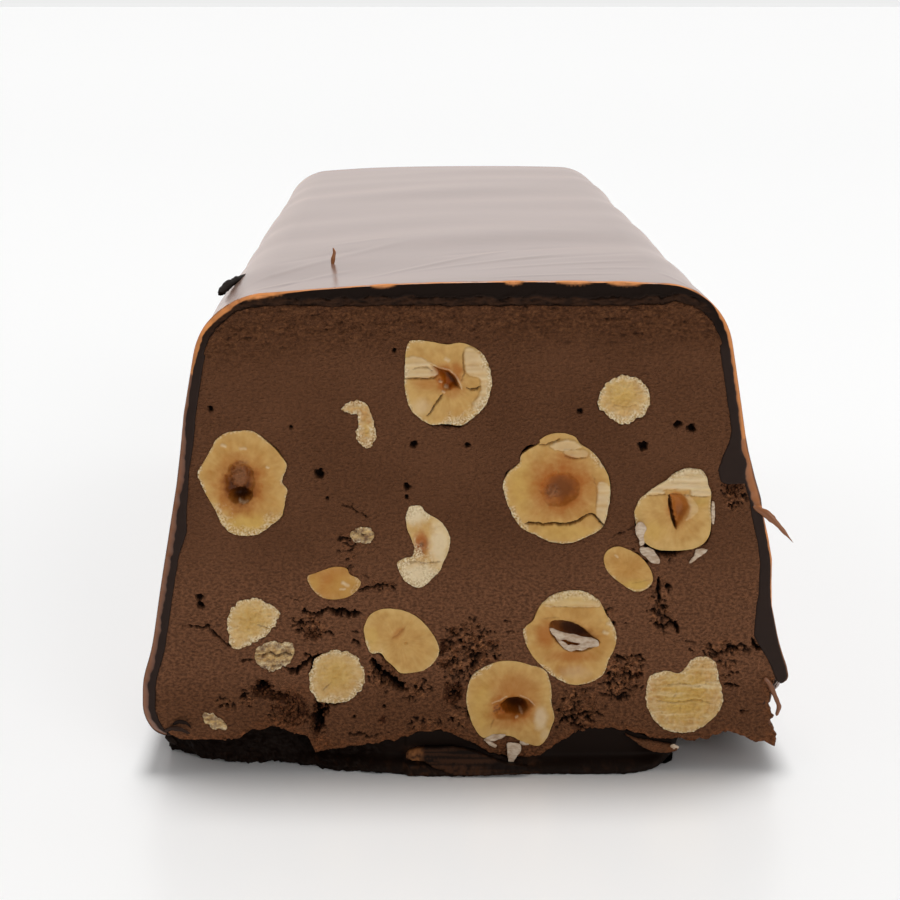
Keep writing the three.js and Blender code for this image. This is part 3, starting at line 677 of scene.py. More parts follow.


# One entry for each nut; places in its outline and features are mm from its "at".
# outline: corners of the smooth edge.  fray: direction, spread, reach, strength of a white torn edge.
# gaps: direction, spread and width where nougat and nut came apart.
# glow, dark, pale, yellow, grit: ovals of colour as x, z, half width, half height, turn, strength; dark ovals
# are painted shade in hollows.
# hollows: ovals as x, z, half width, half height, turn, depth.  pools: outline, depth, softness.
# lines: path, width, depth.  ridges: path, width, rise.  plates: outline, rise, paleness.
hazelnuts = {
    "hazelnut_left": {
        "at": (-27.6, 38.2), "depth": 6.2, "tone": 0.62,
        "outline": [(-3.0, 5.7), (-1.7, 6.5), (-0.2, 6.7), (1.2, 6.7), (2.4, 6.0), (4.0, 4.5), (5.3, 2.8),
                    (5.5, 2.0), (5.0, 0.8), (4.9, 0.1), (5.5, -0.9), (5.2, -2.4), (4.8, -4.1), (3.8, -5.1),
                    (1.7, -6.5), (-0.9, -6.6), (-2.6, -5.4), (-3.3, -3.7), (-4.3, -1.8), (-5.2, 0.1),
                    (-5.5, 1.4), (-4.7, 2.8), (-3.8, 4.4)],
        "hollows": [(-0.3, -1.6, 1.5, 1.0, 0, 1.6), (-0.35, 0.3, 1.8, 2.6, 0, 1.0)],
        "glow": [(-0.35, -0.2, 3.5, 4.4, 0, 1.0)],
        "dark": [(-0.4, -0.2, 2.3, 3.2, 4, 0.85), (-0.4, -1.5, 1.5, 1.2, 0, 0.95)],
        "lumps": [(-0.35, 0.9, 1.15, 1.55, 0.9)],
        "grit": [(-0.35, 0.9, 1.2, 1.6, 0, 0.7), (0.1, 2.7, 1.0, 0.35, 0, 0.4)],
        "ridges": [([(-0.5, -2.3), (0, -2.5), (0.5, -2.35)], 0.14, 0.2),
                   ([(-2.4, 4.9), (-2.0, 4.7)], 0.22, 0.15), ([(-0.2, 4.5), (0.5, 4.45)], 0.2, 0.12),
                   ([(3.0, 2.1), (3.2, 2.0)], 0.14, 0.12)],
        "fray": [(175, 26, 0.5, 1.0), (268, 66, 1.9, 0.75), (0, 36, 0.35, 0.5), (100, 60, 0.35, 0.5)],
        "gaps": [(48, 30, 0.2), (312, 20, 0.12)], "yellow": [(0.3, -5.2, 4.2, 1.7, 0, 0.8)],
    },
    "hazelnut_top": {
        "at": (-2.2, 50.8), "depth": 5.2, "tone": 0.42,
        "outline": [(-4.7, 5.1), (-3.6, 5.35), (-1.8, 5.1), (-0.1, 4.8), (1.5, 5.0), (3.15, 4.5),
                    (4.4, 3.4), (5.2, 1.7), (5.4, -0.1), (5.0, -2.0), (4.1, -3.5), (2.6, -4.8), (1.5, -5.3),
                    (-0.3, -5.1), (-1.95, -5.2), (-3.2, -4.6), (-4.5, -3.3), (-5.05, -1.8), (-5.3, 0.4),
                    (-5.2, 2.3), (-5.1, 3.95)],
        "pools": [([(-2.2, 2.4), (-1.0, 1.9), (0.15, 1.5), (0.8, 0.95), (1.3, 0.1), (1.6, -0.7),
                    (0.8, -0.6), (0.1, -0.9), (-0.7, -0.6), (-0.7, 0.5), (-1.2, 1.1)], 1.3, 0.5)],
        "glow": [(0.0, 0.4, 2.6, 1.9, -42, 1.0), (1.1, 1.7, 1.1, 1.0, -40, 0.7),
                 (-2.6, 0.0, 2.2, 1.0, 0, 0.4)],
        "dark": [(0.55, 0.5, 1.4, 0.55, -48, 0.75)],
        "ridges": [([(-2.4, 2.6), (-1.15, 1.95), (0.2, 1.65), (1.0, 0.95), (1.5, 0.0), (1.75, -0.7)], 0.1,
                    0.16),
                   ([(-0.95, 0.2), (-0.7, 0.15)], 0.2, 0.5), ([(-0.3, -0.5), (0.0, -0.6)], 0.2, 0.5),
                   ([(-0.6, -1.0), (-0.4, -1.15)], 0.16, 0.3),
                   ([(-5.2, 0.85), (-4.0, 1.0), (-2.6, 0.75), (-1.6, 0.95)], 0.13, 0.1),
                   ([(-0.2, 3.0), (0.1, 2.8)], 0.25, 0.12)],
        "lines": [([(-5.3, 0.6), (-3.6, 0.6), (-1.8, 0.55), (-1.2, 1.0)], 0.09, 0.4),
                  ([(-4.2, 1.8), (-3.3, 2.05), (-2.6, 2.0), (-1.8, 1.5)], 0.07, 0.3),
                  ([(-0.6, -1.4), (-1.4, -2.5), (-2.2, -3.8), (-2.5, -4.1)], 0.1, 0.5),
                  ([(2.3, -0.55), (2.8, -0.8), (3.6, -0.75), (4.0, -0.4)], 0.12, 0.5),
                  ([(1.9, 3.9), (1.9, 2.5), (2.0, 1.2), (1.7, 0.3)], 0.07, 0.25)],
        "plates": [([(-5.3, 3.0), (-3.6, 3.3), (-2.5, 2.7), (-1.4, 1.7), (-1.3, 1.0), (-3.0, 0.8),
                     (-5.4, 0.8)], 0.12, 0.5),
                   ([(2.1, 4.1), (3.4, 4.1), (5.2, 1.5), (5.4, -0.8), (4.2, -3.4), (3.0, -3.0), (4.0, -1.2),
                     (3.9, 0.5), (2.3, 1.3)], 0.16, 0.5)],
        "fray": [(358, 62, 1.3, 0.95), (300, 50, 1.6, 1.0), (170, 16, 0.9, 0.8), (215, 40, 0.5, 0.6),
                 (130, 16, 0.5, 0.7), (262, 20, 0.4, 0.7)],
        "gaps": [(272, 30, 0.5)], "pale": [(-3.3, -3.0, 1.5, 1.2, 20, 0.3)],
    },
    "hazelnut_centre": {
        "at": (11.3, 37.3), "depth": 6.4, "tone": 0.55,
        "outline": [(-2.2, 5.8), (-2.1, 6.3), (-0.95, 7.0), (0.7, 7.15), (2.2, 6.7), (2.9, 5.8), (4.5, 4.7),
                    (5.55, 3.3), (6.4, 1.8), (6.75, -0.15), (6.5, -2.5), (5.9, -4.8), (4.5, -5.9),
                    (1.8, -6.95), (-0.7, -6.75), (-2.6, -5.8), (-4.3, -4.9), (-5.7, -2.75), (-6.5, -0.15),
                    (-6.6, 0.8), (-6.0, 2.1), (-4.6, 3.4), (-4.3, 4.5)],
        "hollows": [(0.4, 0.0, 2.4, 2.2, 0, 0.7)],
        "glow": [(0.6, 0.3, 4.6, 4.5, 0, 0.95), (1.2, 4.1, 2.2, 0.6, -12, 0.6)],
        "dark": [(0.7, 0.2, 2.2, 2.1, 0, 0.55), (0.3, -0.9, 1.2, 0.5, 0, 0.45)],
        "lumps": [(-0.4, -0.4, 0.9, 0.9, 0.5)], "grit": [(-0.4, -0.4, 1.0, 1.0, 0, 0.7)],
        "lines": [([(-3.9, -4.4), (-2.1, -4.4), (-1.7, -4.6), (-0.1, -4.4), (0.5, -4.55), (1.55, -4.5),
                    (2.4, -4.3), (3.0, -4.0), (3.8, -3.4), (4.5, -3.2), (5.0, -3.6),
                    (5.95, -4.7)], 0.14, 0.8),
                    ([(-2.2, 5.6), (-1.5, 5.7), (-0.4, 6.0), (0.5, 6.5)], 0.08, 0.4),
                  ([(4.4, 2.0), (4.9, 0.6), (5.1, -0.8), (4.9, -2.4)], 0.05, 0.15),
                  ([(1.0, 4.2), (2.2, 3.9), (3.6, 4.0)], 0.07, 0.3)],
        "plates": [([(-0.8, 5.6), (0.1, 6.1), (1.35, 6.3), (2.6, 5.9), (3.1, 5.4), (1.8, 5.07), (0.1, 4.96),
                     (-0.7, 5.3)], 0.22, 0.5),
                   ([(1.0, 4.9), (2.4, 5.07), (3.9, 4.75), (3.6, 4.1), (2.0, 4.1), (1.1, 4.5)], 0.14, 0.3),
                   ([(5.2, 0.8), (6.5, 0.5), (6.8, -1.5), (6.0, -4.5), (5.0, -3.2), (5.2, -1.0)], 0.08,
                    0.5)],
        "fray": [(182, 20, 0.6, 1.0), (218, 26, 0.9, 0.9), (275, 55, 0.3, 0.8), (36, 16, 1.0, 0.7),
                 (150, 20, 0.5, 0.5), (335, 40, 0.4, 0.5)],
        "gaps": [(124, 15, 0.5), (158, 13, 0.3), (5, 50, 0.13), (282, 46, 0.13)],
        "yellow": [(-4.4, 0.4, 2.0, 4.2, 0, 0.55), (1.0, -5.6, 4.4, 1.2, 0, 0.5)],
    },
    "hazelnut_right": {
        "at": (26.1, 34.5), "depth": 5, "tone": 0.4,
        "outline": [(-4.25, 1.6), (-2.7, 2.9), (-1.2, 3.9), (0, 4.9), (1.4, 5.45), (2.9, 5.3), (3.8, 4.6),
                    (4.05, 3.5), (4.5, 2.3), (4.5, 0.7), (4.65, -1.1), (4.5, -3.1), (3.8, -4.3),
                    (2.4, -5.0), (0.4, -5.2), (-1.85, -5.1), (-3.4, -4.3), (-4.4, -2.9), (-4.85, -1.3),
                    (-4.95, 0.1)],
        "pools": [([(-0.75, 2.1), (0.1, 2.4), (1.2, 2.05), (1.95, 0.55), (1.6, -0.6), (0.85, -1.7),
                    (0.25, -2.6), (-0.3, -0.9), (-0.6, 0.6)], 0.9, 0.9)],
        "glow": [(0.4, 0.3, 1.7, 2.6, 6, 0.85)],
        "lines": [([(-0.7, 1.9), (-0.5, 0.55), (-0.2, -0.8), (0.25, -2.3)], 0.22, 1.3),
                                                             ([(-3.2, 2.0), (-1.0, 2.05), (2.0, 1.9),
                                                               (4.3, 1.75)], 0.05, 0.3)],
        "plates": [([(-3.7, 2.3), (-0.3, 4.8), (2.9, 5.3), (4.1, 3.9), (4.4, 2.0), (2.1, 1.9), (1.8, 2.7),
                     (-1.3, 2.7), (-1.5, 2.1)], 0.2, 0.6),
                   ([(1.3, 2.1), (2.2, 1.6), (3.0, 0.1), (1.5, -1.4), (1.9, 0.3)], 0.12, 0.25)],
        "ridges": [([(-2.7, 2.4), (-1.4, 2.4)], 0.2, 0.15), ([(2.1, 2.35), (4.3, 2.1)], 0.26, 0.15),
                   ([(-2.4, 3.3), (0.2, 3.5), (3.9, 3.3)], 0.1, 0.12),
                   ([(-0.6, 4.3), (1.2, 4.5), (3.6, 4.2)], 0.1, 0.12)],
        "strata": (0.42, 0.1, 2.2), "grit": [(0.7, -0.1, 0.6, 0.9, 0, 0.4)],
        "fray": [(75, 40, 1.0, 0.9), (205, 30, 0.5, 0.7), (155, 26, 0.6, 0.6), (0, 26, 0.4, 0.5)],
        "gaps": [(262, 30, 0.9), (232, 16, 0.6), (208, 16, 0.5), (352, 24, 0.4), (318, 14, 0.4)],
        "yellow": [(-2.6, -2.6, 1.8, 1.6, 0, 0.5), (3.2, 1.0, 1.2, 0.8, 0, 0.7)],
        "dark": [(3.3, 1.2, 1.1, 0.6, 0, 0.12)],
    },
    "hazelnut_slit": {
        "at": (13.3, 17.8), "depth": 5.8, "tone": 0.6,
        "outline": [(-5.97, 0.6), (-5.7, 1.5), (-4.7, 2.4), (-4.2, 3.6), (-3.3, 5.0), (-1.95, 5.9),
                    (-0.4, 6.3), (1.4, 6.3), (2.7, 5.7), (3.8, 4.7), (4.5, 3.2), (5.3, 2.0), (5.9, 0.45),
                    (5.7, -1.3), (5.0, -2.9), (4.3, -4.8), (2.7, -5.9), (0.8, -6.3), (-1.0, -5.7),
                    (-2.6, -4.6), (-4.3, -2.9), (-5.3, -1.3)],
        "pools": [([(-2.7, 1.5), (-2.4, 2.25), (-1.2, 2.4), (0.3, 2.1), (1.6, 1.4), (2.95, 0.2),
                    (3.8, -0.6), (2.6, -1.45), (1.25, -1.9), (-0.44, -1.6), (-1.75, -0.6), (-2.5, 0.4)],
                    2.4, 0.6)],
        "glow": [(-3.1, 0.5, 1.5, 2.2, 0, 0.7), (0.2, -2.4, 3.6, 1.1, 0, 0.6),
                 (0.5, 0.2, 3.4, 2.0, -14, 0.9), (0, -4.2, 2.6, 1.0, 0, 0.25)],
        "dark": [(0.5, 0.5, 3.0, 1.5, -16, 0.85)],
        "lines": [([(-3.6, 2.5), (-2.6, 2.75), (-1.4, 2.7)], 0.05, 0.15),
                  ([(-2.9, 4.25), (0, 4.15), (3.7, 4.1)], 0.05, 0.2)],
        "plates": [([(-3.2, 4.6), (-3.0, 5.2), (-1.8, 6.0), (0.6, 6.4), (2.4, 5.8), (3.7, 4.6), (3.2, 4.2),
                     (-0.4, 4.2)], 0.14, 0.35)],
        "ridges": [([(-3.2, 4.3), (0, 4.22), (3.6, 4.2)], 0.09, 0.1),
                   ([(4.3, 0.8), (4.7, 0.6)], 0.28, 0.25), ([(4.8, 1.9), (5.2, 1.6)], 0.24, 0.2)],
        "fray": [(88, 50, 1.2, 0.8), (176, 16, 0.5, 0.9), (245, 30, 0.7, 0.9), (12, 22, 0.6, 0.8),
                 (310, 40, 0.3, 0.6)],
        "gaps": [(140, 24, 0.2), (285, 40, 0.12)], "yellow": [(0.1, 5.2, 3.9, 1.2, 0, 0.9)],
        "pale": [(0.8, -4.6, 2.4, 1.1, 0, 0.2)],
    },
    "hazelnut_square": {
        "at": (5.8, 9.0), "depth": 4.8, "tone": 0.5,
        "outline": [(-5.2, 3.1), (-4.4, 4.3), (-2.9, 5.2), (-1.2, 5.8), (0.9, 5.7), (2.6, 5.2), (4.1, 4.7),
                    (4.8, 3.8), (5.2, 2.0), (5.3, 0), (5.65, -1.8), (5.2, -3.4), (4.6, -4.9), (3.7, -5.7),
                    (2.4, -5.5), (1.3, -5.0), (0, -4.35), (-1.9, -4.25), (-3.45, -4.55), (-4.6, -3.2),
                    (-5.35, -1.0), (-5.6, 1.0)],
        "hollows": [(0.5, -0.4, 1.7, 1.2, 0, 2.6)],
        "pools": [([(-2.4, -0.2), (-1.3, 0.35), (-0.3, 0.95), (1.0, 1.05), (2.2, 0.65), (3.1, -0.2),
                    (2.4, -0.9), (1.6, -1.9), (0.65, -2.3), (-0.5, -2.3), (-1.9, -2.1)], 0.8, 0.8)],
        "glow": [(0.3, -0.6, 3.8, 2.8, 0, 0.95), (0.6, 2.0, 3.4, 2.6, 0, 0.5),
                 (-1.0, -2.6, 1.8, 0.7, 0, 0.4)], "dark": [(0.6, -0.4, 2.0, 1.4, 0, 0.85)],
        "lumps": [(-1.75, -0.8, 0.55, 0.6, 0.7)], "grit": [(-1.75, -0.8, 0.5, 0.6, 0, 0.3)],
        "ridges": [([(-2.3, 0.1), (-1.3, 0.5), (-0.5, 1.0)], 0.1, 0.1),
                   ([(1.2, 1.2), (2.4, 0.6), (3.1, -0.2)], 0.09, 0.2),
                   ([(1.3, -1.2), (1.5, -1.3)], 0.17, 0.5), ([(0.7, -1.95), (1.0, -1.8)], 0.1, 0.2)],
        "lines": [([(-2.1, -2.1), (-2.3, -2.6), (-2.5, -3.2)], 0.1, 0.2)],
        "pale": [(3.9, -2.0, 1.0, 2.0, 0, 0.55), (4.5, -4.2, 0.8, 1.2, 0, 0.3)],
        "fray": [(130, 22, 0.9, 0.9), (160, 40, 0.3, 0.5), (20, 60, 0.3, 0.4)],
        "gaps": [(255, 30, 0.35)], "yellow": [(-3.6, -0.3, 1.7, 4.2, 0, 0.5)],
    },
    "hazelnut_smooth": {
        "at": (-8.1, 17.5), "depth": 4.2, "tone": 0.45,
        "outline": [(-4.6, 0.7), (-4.65, 1.9), (-4.0, 3.4), (-2.8, 4.2), (-1.25, 4.35), (0.6, 4.0),
                    (2.3, 3.0), (3.7, 1.4), (4.6, -0.2), (4.8, -1.5), (4.2, -2.7), (3.0, -3.8), (1.3, -4.2),
                    (-0.1, -4.2), (-0.9, -3.4), (-1.9, -2.5), (-2.6, -1.55), (-4.0, -1.4)],
        "glow": [(-0.3, 1.1, 1.3, 0.6, 40, 0.5)],
        "lines": [([(-1.25, 0.3), (-0.4, 0.9), (0.5, 1.8)], 0.12, 0.12)], "lumpy": 0.03,
        "hollows": [(0.6, -0.25, 0.2, 0.15, 0, 0.3)], "fray": [(195, 24, 0.7, 0.6), (330, 40, 0.25, 0.4)],
        "yellow": [(-3.8, 0.6, 1.2, 1.6, 0, 0.5)],
        "gaps": [(224, 26, 0.5), (260, 20, 0.3)],
    },
    "hazelnut_heart": {
        "at": (28.1, 9.9), "depth": 3.6, "tone": 0.6, "ragged": 0.12, "granular": 0.9,
        "outline": [(-4.9, 1.5), (-4.65, 2.5), (-3.6, 3.2), (-2.2, 3.4), (-0.8, 3.1), (-0.1, 3.75),
                    (0.6, 4.8), (1.7, 5.3), (3.1, 5.05), (3.95, 4.1), (4.3, 2.4), (4.8, 0.4), (4.9, -0.9),
                    (4.1, -2.6), (2.7, -3.9), (1.3, -4.8), (-0.4, -5.0), (-2.2, -4.6), (-3.6, -3.5),
                    (-4.6, -1.8), (-5.0, 0)],
        "yellow": [(0, 0, 4.6, 5.0, 0, 0.85)],
        "lines": [([(-1.7, -0.5), (-0.9, 0.8)], 0.07, 0.2),
                  ([(-3.6, -0.6), (-1.2, -0.9), (1.6, -0.5), (3.4, -1.0)], 0.05, 0.25),
                                                         ([(-2.8, 1.4), (-0.6, 1.7), (1.6, 1.3),
                                                           (3.3, 1.8)], 0.05, 0.25)],
        "strata": (0.55, 0.09, -9),
        "fray": [(60, 60, 0.9, 0.8), (150, 40, 0.8, 0.8), (250, 70, 0.5, 0.8), (0, 30, 0.5, 0.7),
                 (200, 40, 0.5, 0.7)],
        "gaps": [(250, 60, 0.1)],
    },
    "hazelnut_crescent": {
        "at": (-4.4, 30.2), "depth": 3, "tone": 0.3, "granular": 0.3,
        "outline": [(-2.97, 3.9), (-2.6, 4.9), (-1.9, 5.1), (-1.1, 5.0), (-0.55, 4.2), (0.5, 3.6),
                    (1.6, 2.7), (2.4, 1.3), (2.5, 0.4), (2.2, -1.1), (1.6, -2.4), (1.2, -3.4), (0.2, -4.5),
                    (-0.8, -5.4), (-1.7, -5.6), (-2.9, -4.95), (-3.6, -4.0), (-4.1, -2.7), (-3.85, -2.05),
                    (-3.1, -1.7), (-2.3, -1.5), (-2.0, -0.8), (-2.1, 0.1), (-2.4, 1.0), (-2.8, 1.9),
                    (-2.97, 2.8)],
        "glow": [(-1.1, 0.1, 1.2, 1.9, 0, 0.95)], "dark": [(-1.05, -0.1, 0.35, 0.4, 0, 0.6)],
        "pale": [(-1.8, 4.0, 1.8, 1.8, 0, 0.85), (-1.4, -4.0, 3.2, 2.2, 0, 0.8),
                 (1.2, 0.2, 1.6, 4.0, 0, 0.7)],
                 "ridges": [([(-1.9, 0.9), (-1.85, 0.0), (-1.7, -0.6)], 0.1, 0.15)],
        "lines": [([(-3.4, -2.3), (-2.0, -2.2), (-0.4, -2.4), (1.3, -2.2)], 0.07, 0.3)],
        "hollows": [(-1.1, 0.1, 0.8, 1.4, 0, 0.4)],
        "fray": [(235, 70, 2.6, 1.0), (110, 30, 1.4, 0.9), (20, 50, 0.3, 0.6)],
    },
    "hazelnut_golden": {
        "at": (-16.3, 25.3), "depth": 2, "tone": 0.9,
        "outline": [(-3.5, 0.8), (-2.4, 1.3), (-1.15, 1.8), (0.1, 2.1), (1.4, 1.9), (1.8, 1.1),
                    (2.85, 0.55), (3.2, -0.2), (2.5, -1.2), (1.4, -1.9), (-0.2, -2.2), (-1.8, -1.85),
                    (-2.9, -0.8)],
        "glow": [(-0.9, 0.5, 1.4, 1.2, 0, 0.5), (0, 0, 4.6, 3.2, 0, 0.3)],
        "yellow": [(1.2, -0.4, 2.6, 1.8, 0, 0.6), (-2.6, 0.0, 0.9, 1.4, 0, 0.5)],
        "fray": [(200, 50, 0.35, 0.4), (350, 40, 0.9, 0.35)],
        "ridges": [([(0.9, 0.0), (1.6, -0.4)], 0.25, 0.12), ([(1.2, -0.8), (0.6, -0.9)], 0.16, 0.1)],
        "gaps": [(255, 50, 0.06)],
    },
    "hazelnut_oval": {
        "at": (20.4, 27.0), "depth": 2.2, "tone": 0.75,
        "outline": [(-3.0, 0.9), (-2.7, 2.2), (-1.5, 2.85), (0.0, 2.5), (1.7, 1.4), (2.9, -0.2),
                    (3.2, -1.7), (2.3, -2.8), (0.9, -3.0), (-0.6, -2.1), (-2.2, -0.8)],
        "yellow": [(1.2, -2.2, 1.9, 0.9, 0, 0.9)], "ridges": [([(-1.6, 1.7), (-1.3, 1.5)], 0.16, 0.12)],
        "fray": [(300, 36, 0.45, 0.6), (205, 30, 0.4, 0.4)],
        "lines": [([(0.4, -2.0), (1.6, -1.8), (2.8, -1.5)], 0.05, 0.12)],
        "gaps": [(285, 20, 0.12), (40, 30, 0.1)],
    },
    "hazelnut_pale_upper": {
        "at": (-26.8, 20.1), "depth": 2.2, "tone": 0.25, "ragged": 0.2, "granular": 0.8,
        "outline": [(-3.2, -0.3), (-2.6, 1.9), (-1.15, 2.9), (0.6, 3.2), (2.1, 2.5), (3.3, 1.7), (3.2, 0.3),
                    (2.2, -1.2), (0.9, -2.3), (-0.6, -3.0), (-2.0, -3.5), (-2.9, -2.6)],
        "yellow": [(-0.2, 0.4, 3.0, 2.6, 0, 0.6)], "lines": [([(0.5, -0.3), (1.9, -0.7)], 0.08, 0.4)],
        "fray": [(60, 90, 0.9, 1.0), (180, 90, 0.8, 1.0), (300, 90, 1.3, 1.0)],
    },
    "hazelnut_pale_lower": {
        "at": (-16.3, 12.6), "depth": 2.6, "tone": 0.25, "ragged": 0.2, "granular": 0.7,
        "outline": [(-3.5, -0.3), (-3.3, 1.3), (-2.45, 2.85), (-0.7, 3.7), (1.1, 3.6), (2.55, 2.85),
                    (3.3, 1.3), (3.5, -0.6), (2.55, -2.1), (1.4, -3.1), (-0.7, -3.4), (-2.45, -2.9),
                    (-3.3, -1.7)],
        "yellow": [(-0.2, 0.5, 2.9, 2.6, 0, 0.6)], "lines": [([(-1.8, -1.6), (-0.7, -0.5)], 0.07, 0.3)],
        "fray": [(60, 90, 0.9, 1.0), (180, 90, 0.9, 1.0), (300, 90, 1.5, 1.0)],
        "gaps": [(135, 40, 0.4), (260, 30, 0.3)],
    },
    "hazelnut_pale_round": {
        "at": (19.5, 48.7), "depth": 2.2, "tone": 0.3, "ragged": 0.2, "granular": 0.7,
        "outline": [(-3.1, -0.6), (-2.9, 0.9), (-1.9, 2.3), (-0.4, 2.9), (1.2, 2.7), (2.6, 1.7), (3.2, 0.2),
                    (2.9, -1.3), (2.0, -2.3), (0.6, -3.0), (-0.8, -2.9), (-2.0, -2.1)],
        "yellow": [(-0.3, 0.6, 2.3, 2.1, 0, 0.75)],
        "lines": [([(-1.2, -0.7), (0.3, -1.0), (1.8, -0.6)], 0.05, 0.15)],
        "fray": [(60, 90, 0.9, 1.0), (180, 90, 0.7, 1.0), (290, 90, 1.6, 1.0)],
        "gaps": [(200, 20, 0.15), (315, 20, 0.2)],
    },
    "hazelnut_chip_streak": {
        "at": (-24.2, 15.6), "depth": 1.3, "tone": 0.1, "ragged": 0.25, "veil": 0.35, "granular": 1.0,
        "outline": [(-2.5, 0.1), (-1.9, 1.2), (-0.7, 1.8), (0.9, 1.9), (2.3, 1.6), (2.6, 0.5), (1.9, -0.8),
                    (0.8, -1.8), (-0.7, -1.9), (-1.9, -1.2)],
        "lines": [([(-2.5, 0.2), (-1.5, 0.1), (-0.5, 0.5), (0.3, 0.0), (1.4, 0.4), (2.2, 0.2)], 0.12, 0.7),
                  ([(-0.3, -1.3), (1.0, -1.2)], 0.12, 0.5)],
        "fray": [(90, 90, 1.4, 1.0), (270, 90, 1.4, 1.0)],
    },
    "hazelnut_chip_hooked": {
        "at": (-12.4, 45.8), "core": (-0.2, 0.9), "depth": 1.3, "tone": 0.9, "ragged": 0.14,
        "granular": 0.8,
        "outline": [(-2.9, 1.7), (-2.2, 2.5), (-1.0, 2.9), (0.2, 2.4), (0.9, 0.8), (1.4, -1.0), (1.3, -2.1),
                    (0.3, -3.2), (-0.6, -2.7), (-1.1, -1.3), (-0.8, 0.1), (-1.0, 1.1), (-1.9, 1.2)],
        "yellow": [(0.3, -0.6, 0.9, 1.6, 0, 0.6), (-0.8, 2.1, 0.8, 0.4, 0, 0.5)],
        "glow": [(0.5, 0.2, 0.5, 0.4, 0, 0.35)],
        "fray": [(130, 60, 0.7, 1.0), (270, 90, 1.2, 1.0), (0, 60, 0.3, 0.8)],
    },
    "hazelnut_chip_corner": {
        "at": (-32.0, 6.8), "depth": 1, "tone": 0.1, "ragged": 0.25, "veil": 0.4, "granular": 1.0,
        "outline": [(-1.5, 1.2), (-0.4, 1.1), (0.9, 0.4), (1.6, -0.6), (1.2, -1.2), (0.1, -1.0),
                    (-1.1, -0.2)],
        "fray": [(90, 90, 0.8, 1.0), (270, 90, 0.8, 1.0)],
    },
    "hazelnut_chip_small": {
        "at": (-12.9, 31.4), "depth": 1, "tone": 0.1, "ragged": 0.25, "veil": 0.4, "granular": 1.0,
        "outline": [(-1.5, 0.1), (-0.9, 0.9), (0.3, 1.1), (1.4, 0.6), (1.4, -0.4), (0.5, -1.0),
                    (-0.8, -0.8)],
        "lines": [([(-1.2, 0.8), (0.0, 0.1), (0.5, 0.2)], 0.1, 0.5)],
        "fray": [(90, 90, 0.6, 1.0), (270, 90, 0.6, 1.0)],
    },
}


def angleAway(degrees, at):
    return (degrees - at + 180) % 360 - 180


def closedCurve(corners, step):
    # smooth closed line through the corners, in even steps and turning left
    corners = np.asarray(corners, float)
    before, after, next2 = (np.roll(corners, k, axis=0) for k in (1, -1, -2))
    t = np.linspace(0, 1, 16, endpoint=False)[:, None, None]
    bend = 2 * before - 5 * corners + 4 * after - next2
    curve = 0.5 * (2 * corners + (after - before) * t + bend * t ** 2
                   + (3 * corners - before - 3 * after + next2) * t ** 3)
    dense = curve.transpose(1, 0, 2).reshape(-1, 2)
    x, z = dense.T
    if np.sum(x * np.roll(z, -1) - z * np.roll(x, -1)) < 0:
        dense = dense[::-1]
    dense = np.concatenate([dense, dense[:1]])
    run = np.concatenate([[0], np.cumsum(np.hypot(*np.diff(dense, axis=0).T))])
    at = np.linspace(0, run[-1], int(run[-1] / step), endpoint=False)
    return np.column_stack([np.interp(at, run, dense[:, 0]), np.interp(at, run, dense[:, 1])])


def outwards(loop):
    ahead = np.roll(loop, -1, axis=0) - np.roll(loop, 1, axis=0)
    ahead /= np.hypot(*ahead.T)[:, None]
    return np.column_stack([ahead[:, 1], -ahead[:, 0]])


def frayShare(nut, degrees):
    share = np.zeros(len(degrees))
    for at, spread, _, strength in nut.get("fray", []):
        away = np.abs(angleAway(degrees, at))
        share = np.maximum(share, strength * smoothStep(-away, -spread, -spread * 0.5))
    return share


def nutLoop(nut):
    # the nut's edge on the cut, rougher where it is frayed
    loop = closedCurve(nut["outline"], 0.19)
    degrees = np.degrees(np.arctan2(loop[:, 1], loop[:, 0]))
    rough = 0.03 + nut.get("ragged", 0.05) * frayShare(nut, degrees)
    place = onFace(loop + np.array(nut["at"]))
    return loop + outwards(loop) * (rough * fractal(place, 0.9, 53, 3, 0.7))[:, None] + np.array(nut["at"])


def nutHole(nut, loop):
    # the nougat's edge round a nut, further off where they came apart
    p = loop - np.array(nut["at"])
    degrees = np.degrees(np.arctan2(p[:, 1], p[:, 0]))
    gap = sum(width * bump(angleAway(degrees, at), spread * 0.6) ** 0.7
              for at, spread, width in nut.get("gaps", []))
    wobble = 0.75 + 0.6 * noiseAt(onFace(loop), 1.1, 61) + 0.3 * noiseAt(onFace(loop), 0.4, 62)
    return loop + outwards(loop) * (0.004 + gap * np.maximum(wobble, 0.1))[:, None]


def nutCore(nut):
    # where its body is widest, seen on the cut
    return np.array(nut["at"]) + np.array(nut.get("core", (0, 0)))


nutLoops = {name: nutLoop(nut) for name, nut in hazelnuts.items()}


